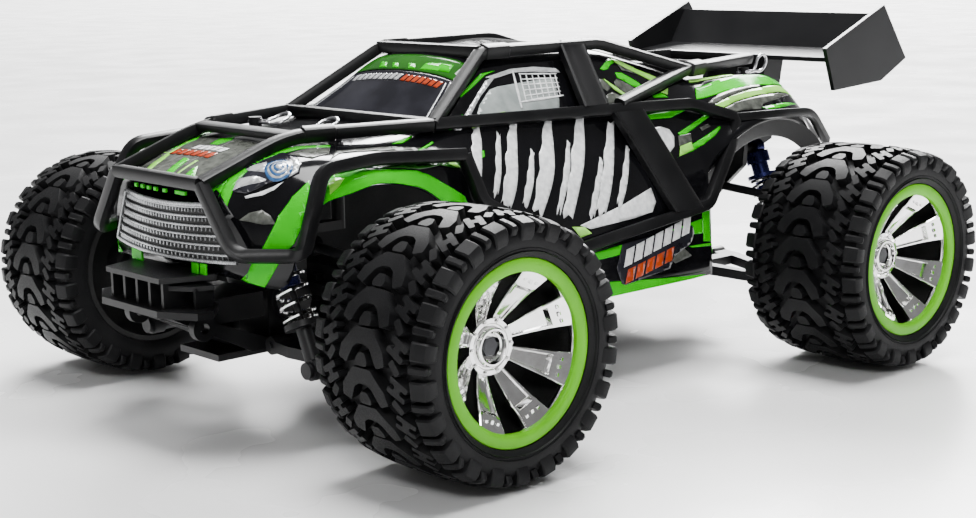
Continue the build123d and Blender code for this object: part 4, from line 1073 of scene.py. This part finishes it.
# ---------------------------------------------------------------- roll cage
HOOD_CORNER = (32.6, -188.0, 113.1)
HOOP_LOW = (52.9, -187.2, 86.0)
HOOP_BACK = (69.6, -165.4, 85.0)
FENDER_SIDE = (75.6, -164.0, 103.6)
FENDER_FRONT = (72.2, -156.4, 119.2)
FENDER_TOP = (71.4, -128.0, 121.0)
FENDER_REAR = (72.6, -80.5, 118.2)
FENDER_LOW = (77.2, -74.0, 97.0)
COLLAR = (32.9, -144.3, 129.1)
COWL = (53.1, -81.5, 130.0)
ROOF_FRONT = (36.1, -36.9, 158.5)
ROOF_REAR = (38.0, 38.0, 159.0)
REAR_JOINT = (42.0, 100.0, 142.5)
TAIL_END = (28.0, 168.0, 144.0)
BELT_MIDDLE = (60.0, 14.0, 129.0)
BELT_REAR = (62.0, 80.0, 127.5)
BELT_END = (69.4, 106.4, 119.0)
BELT_DROP = (72.6, 98.6, 106.0)
TAIL_TOP = (71.5, 166.0, 117.5)
TAIL_LOW = (67.6, 185.5, 100.4)
SILL_REAR = (78.5, 75.0, 79.2)
SILL_MIDDLE = (78.5, 32.0, 74.5)
SILL_FRONT = (78.5, -17.0, 69.0)
BAR = 5.6                   # side of the bars
ROOF_BAR = 6.0
ARCH_BAR = 4.6
REAR_ARCH = (77.2, 131.0, 119.6)
PILLAR = ((37.5, 19.5, 160.4), (60.5, 13.5, 131.0), 8.2)     # ends and half width of a flat bar
DOOR_BAR = ((63.2, 32.5, 127.5), (79.6, 58.2, 78.5), 10.4)
SAIL_FOOT = (60.5, 30.0, 131.0)
BAR_UP = (0.25, 0, 1)       # steers a bar's section, like the next one for the bars on the car's side
SIDE_UP = (1, 0, 0.3)


def cage_bar(bm, points, size=BAR, bend=4.0, up=BAR_UP):
    sweep(bm, bend_path(points, bend), rounded_square(size, size, 1.5), up=up)


def collar(bm, start, toward, length, size=7.4):
    """Moulded sleeve with chamfered ends."""
    start, toward = Vector(start), Vector(toward)
    along = (toward - start).normalized()
    path = [start - along * 2, start - along * 1.2, start + along * (length - 0.8), start + along * length]
    sections = [rounded_square(s, s, 1.8) for s in (size - 1.4, size, size, size - 1.4)]
    rings = []
    side = along.cross(Vector(BAR_UP)).normalized()
    top = side.cross(along)
    for point, section in zip(path, sections):
        rings.append([point + side * u + top * v for u, v in section])
    loft(bm, rings)


def strap(bm, start, end, half_width, thickness=3.2):
    """Flat bar with a raised border on each long edge."""
    start, end = Vector(start), Vector(end)
    out = Vector((0, 1, 0)).cross(end - start).normalized()
    out = out if out.x > 0 else -out
    wide = Vector((0, 1, 0))
    section = [(-half_width, -thickness / 2), (half_width, -thickness / 2), (half_width, thickness / 2),
               (half_width - 1.2, thickness / 2 + 0.5), (half_width - 2.0, thickness / 2),
               (2.0 - half_width, thickness / 2), (1.2 - half_width, thickness / 2 + 0.5),
               (-half_width, thickness / 2)]
    loft(bm, [[p + wide * u + out * v for u, v in section] for p in (start, end)])


def build_cage():
    pieces = []
    bm = bmesh.new()
    cage_bar(bm, [HOOD_CORNER, COLLAR, COWL], bend=14)
    cage_bar(bm, [HOOD_CORNER, HOOP_LOW, HOOP_BACK, FENDER_SIDE, FENDER_FRONT, FENDER_TOP, FENDER_REAR],
             bend=6, up=SIDE_UP)
    collar(bm, Vector(COLLAR).lerp(Vector(COWL), 0.12), COWL, 13, 6.8)
    mirror_copy(bm)
    cage_bar(bm, [HOOD_CORNER, opposite(HOOD_CORNER)])
    sweep(bm, [COLLAR, opposite(COLLAR)], rounded_square(8.0, 3.4, 1.0), up=(0, -0.12, 1))
    pieces.append(("hood_frame", bm, "cage_front"))

    bm = bmesh.new()
    cage_bar(bm, [COWL, ROOF_FRONT, ROOF_REAR, REAR_JOINT])
    collar(bm, Vector(ROOF_FRONT).lerp(Vector(ROOF_REAR), 0.04), ROOF_REAR, 13, 6.8)
    cage_bar(bm, [SAIL_FOOT, REAR_JOINT])
    strap(bm, *PILLAR)
    mirror_copy(bm)
    cage_bar(bm, [COWL, opposite(COWL)])
    cage_bar(bm, [ROOF_FRONT, opposite(ROOF_FRONT)], size=ROOF_BAR)
    cage_bar(bm, [REAR_JOINT, opposite(REAR_JOINT)])
    pieces.append(("cabin_frame", bm, "cage_cabin"))

    bm = bmesh.new()
    cage_bar(bm, [COWL, BELT_MIDDLE, BELT_REAR, BELT_END, BELT_DROP, SILL_REAR, SILL_MIDDLE, SILL_FRONT,
                  FENDER_LOW, FENDER_REAR], up=SIDE_UP)
    strap(bm, *DOOR_BAR)
    cage_bar(bm, [BELT_END, REAR_ARCH, TAIL_TOP, TAIL_LOW], size=ARCH_BAR, bend=8, up=SIDE_UP)
    mirror_copy(bm)
    pieces.append(("side_frames", bm, "cage_sides"))

    bm = bmesh.new()
    cage_bar(bm, [REAR_JOINT, TAIL_END])
    collar(bm, Vector(REAR_JOINT).lerp(Vector(TAIL_END), 0.05), TAIL_END, 12)
    mirror_copy(bm)
    cage_bar(bm, [TAIL_END, opposite(TAIL_END)])
    pieces.append(("tail_frame", bm, "cage_rear"))
    for name, bm, node in pieces:
        piece = make_piece(name, bm, "cage_plastic", "chassis", smooth=40)
        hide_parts(node)


# ---------------------------------------------------------------- CAD nodes with softened edges
def softened(node, material):
    """Put a copy with bevelled edges in place of a CAD node."""
    source = frame["nodes"][node]
    bm = bmesh.new()
    bm.from_mesh(source.data)
    bmesh.ops.remove_doubles(bm, verts=bm.verts[:], dist=1e-6)
    bmesh.ops.dissolve_limit(bm, angle_limit=math.radians(1.0), verts=bm.verts[:], edges=bm.edges[:])
    mesh = bpy.data.meshes.new(node + "_piece")
    bm.to_mesh(mesh)
    bm.free()
    mesh.materials.clear()
    mesh.materials.append(MATERIALS[material])
    piece = bpy.data.objects.new(node + "_piece", mesh)
    bpy.context.scene.collection.objects.link(piece)
    shade(mesh, 30)
    bevel(piece, 0.45)
    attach(piece, source["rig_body"])
    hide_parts(node)


def repaint(node, material):
    """Give a CAD node that stays a detailed material."""
    source = frame["nodes"][node]
    source.data.materials.clear()
    source.data.materials.append(MATERIALS[material])
    shade(source.data, 30)


SOFT_NODES = {"chassis_tub": "black_plastic", "gearbox_cases": "black_plastic",
              "shock_towers": "black_plastic", "front_bumper": "cage_plastic",
              "rear_wing": "wing_plastic", "steering_servo": "black_plastic",
              "steering_rack": "black_plastic", "power_switch": "switch_plastic"}
CORNER_NODES = {"lower_arm": "black_plastic", "upper_link": "black_plastic", "shock_shaft": "black_plastic",
                "axle_set": "dark_steel"}


def build_mechanics():
    for node, material in SOFT_NODES.items():
        softened(node, material)
    for node in ("tie_rod_left", "tie_rod_right"):
        repaint(node, "black_plastic")
    repaint("drive_motors", "motor_can")
    repaint("battery_pack", "battery_wrap")
    for end in ENDS:
        for side in SIDES:
            for node, material in CORNER_NODES.items():
                repaint(f"{node}_{end}_{side}", material)
            repaint(f"shock_body_{end}_{side}", "blue_anodised")
            hub = "c_hub" if end == "front" else "hub_carrier"
            softened(f"{hub}_{end}_{side}", "black_plastic")
    for side in SIDES:
        softened(f"steering_knuckle_front_{side}", "black_plastic")


# ---------------------------------------------------------------- springs and body clips
# Upper eye and lower eye of a shock (x, z), and its distance behind the axle.
SHOCKS = {"front": ((32.0, 100.0), (62.0, 35.2), -24.5), "rear": ((41.0, 97.0), (64.0, 35.06), 27.0)}
COIL_R = 6.9
COIL_TURNS = 7
COIL_BELOW_TOP = 17.9       # from the upper eye to the spring
COIL_ABOVE_EYE = 21.4       # from the spring to the lower eye
COIL_END = 0.11             # share of the coil that is wound close at each end
CLOSE_PITCH = 0.3           # of the even pitch, in those ends
CLIPS = {"front": (30.0, -117.0, 128.6), "rear": (30.0, 161.0, 137.0)}


def coil_rise(t):
    """How far along the spring its wire has come after a share t of the turns."""
    slow = CLOSE_PITCH * COIL_END
    if t < COIL_END:
        return CLOSE_PITCH * t
    if t > 1 - COIL_END:
        return 1 - CLOSE_PITCH * (1 - t)
    return slow + (t - COIL_END) / (1 - 2 * COIL_END) * (1 - 2 * slow)


def build_springs():
    """Coil springs between the body and the shaft of each shock."""
    for end in ENDS:
        (x0, z0), (x1, z1), off = SHOCKS[end]
        y = AXLE_Y[end] + off
        for side, sign in (("left", 1), ("right", -1)):
            upper, lower = Vector((sign * x0, y, z0)), Vector((sign * x1, y, z1))
            axis = (lower - upper).normalized()
            start, stop = upper + axis * COIL_BELOW_TOP, lower - axis * COIL_ABOVE_EYE
            across = axis.cross(Vector((0, 1, 0))).normalized()
            other = axis.cross(across)
            count = 26 * COIL_TURNS
            path = []
            for n in range(count + 1):
                turn = math.tau * COIL_TURNS * n / count
                path.append(start.lerp(stop, coil_rise(n / count)) + across * math.cos(turn) * COIL_R
                            + other * math.sin(turn) * COIL_R)
            bm = bmesh.new()
            sweep(bm, path, circle(0.95, 8), up=axis)
            piece = make_piece(f"coil_{end}_{side}", bm, "spring_steel", None)
            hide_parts(f"shock_spring_{end}_{side}")
            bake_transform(piece)


def clip_path(rise):
    """Spring clip as (along, across, up): straight leg, round head raised by a share, humped leg."""
    tilt = math.radians(90 * rise)
    points = [(-5, 0, 0), (4, 0, 0)]
    for n in range(15):
        angle = math.radians(-120 + 300 * n / 14)
        lift = 4.2 + 4.8 * math.sin(angle)
        across = 0.4 + 1.6 * n / 14 + lift * math.cos(tilt)
        points.append((12.4 + 4.8 * math.cos(angle), across, lift * math.sin(tilt)))
    return points + [(6.2, 2.4, 1.0), (4.6, 3.8, 0.3), (0, 4.8, 0), (-2.5, 4.2, 0), (-4.6, 6.2, 0.6)]


def build_clips():
    bm = bmesh.new()
    x, y, z = CLIPS["front"]
    front = [(x - u, y + v, z + w) for u, v, w in clip_path(0.3)]
    x, y, z = CLIPS["rear"]
    rear = [(x + v, y + u, z + w) for u, v, w in clip_path(0.9)]
    for line in (front, rear):
        sweep(bm, bend_path(line, 1.2, 3), circle(0.8, 10))
    mirror_copy(bm)
    piece = make_piece("spring_clips", bm, "steel", "chassis")
    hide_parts("body_clips")


# ---------------------------------------------------------------- stage, light and camera
def area_light(name, place, target, size, power):
    data = bpy.data.lights.new(name, "AREA")
    data.energy = power
    data.size = size
    light = bpy.data.objects.new(name, data)
    light.location = place
    light.rotation_euler = (Vector(target) - Vector(place)).to_track_quat("-Z", "Y").to_euler()
    bpy.context.scene.collection.objects.link(light)


def build_stage():
    bm = bmesh.new()
    bmesh.ops.create_grid(bm, x_segments=2, y_segments=2, size=14.0)
    mesh = bpy.data.meshes.new("floor")
    bm.to_mesh(mesh)
    bm.free()
    floor = bpy.data.objects.new("floor", mesh)
    mesh.materials.append(MATERIALS["floor"])
    bpy.context.scene.collection.objects.link(floor)
    world = bpy.data.worlds.new("studio")
    world.use_nodes = True
    tree = world.node_tree
    coords = tree.nodes.new("ShaderNodeTexCoord")
    split = tree.nodes.new("ShaderNodeSeparateXYZ")
    tree.links.new(coords.outputs["Generated"], split.inputs[0])
    sky = ramp(tree, split.outputs["Z"], 0.62, 0.24, 0.0, 0.25)
    tree.links.new(sky, tree.nodes["Background"].inputs["Color"])
    tree.nodes["Background"].inputs["Strength"].default_value = 1.0
    bpy.context.scene.world = world
    area_light("overhead", (0.1, 0.2, 3.0), (0, 0.2, 0), 1.6, 210)
    area_light("key", (1.5, -1.3, 1.5), (0, 0, 0.05), 0.5, 24)
    area_light("back", (-2.0, 3.0, 2.2), (-0.9, 1.4, 0), 1.6, 150)
    area_light("far", (-4.5, 5.5, 4.5), (-4.0, 5.0, 0), 5.0, 3600)


CAMERA_PLACE = (607.9, -557.2, 207.0)
CAMERA_YAW = 137.55
CAMERA_PITCH = -10.63
CAMERA_ROLL = -0.9
CAMERA_LENS = 61.83


def build_camera():
    yaw, pitch, roll = (math.radians(a) for a in (CAMERA_YAW, CAMERA_PITCH, CAMERA_ROLL))
    ahead = Vector((math.cos(pitch) * math.cos(yaw), math.cos(pitch) * math.sin(yaw), math.sin(pitch)))
    right = ahead.cross(Vector((0, 0, 1))).normalized()
    up = right.cross(ahead)
    side = right * math.cos(roll) + up * math.sin(roll)
    top = up * math.cos(roll) - right * math.sin(roll)
    turn = Matrix((side, top, -ahead)).transposed().to_4x4()
    data = bpy.data.cameras.new("camera")
    data.lens = CAMERA_LENS
    data.sensor_width = 36
    data.clip_start = 0.01
    camera = bpy.data.objects.new("camera", data)
    camera.matrix_world = Matrix.Translation(TO_ROW @ Vector(CAMERA_PLACE)) @ turn
    bpy.context.scene.collection.objects.link(camera)
    bpy.context.scene.camera = camera


# ---------------------------------------------------------------- build everything
build_wheels()
shell_tree = build_shell()
build_arch_lips()
build_livery_and_painted_light()
build_grille()
build_cage()
build_mechanics()
build_springs()
build_clips()
build_stage()
build_camera()

bpy.context.view_layer.update()
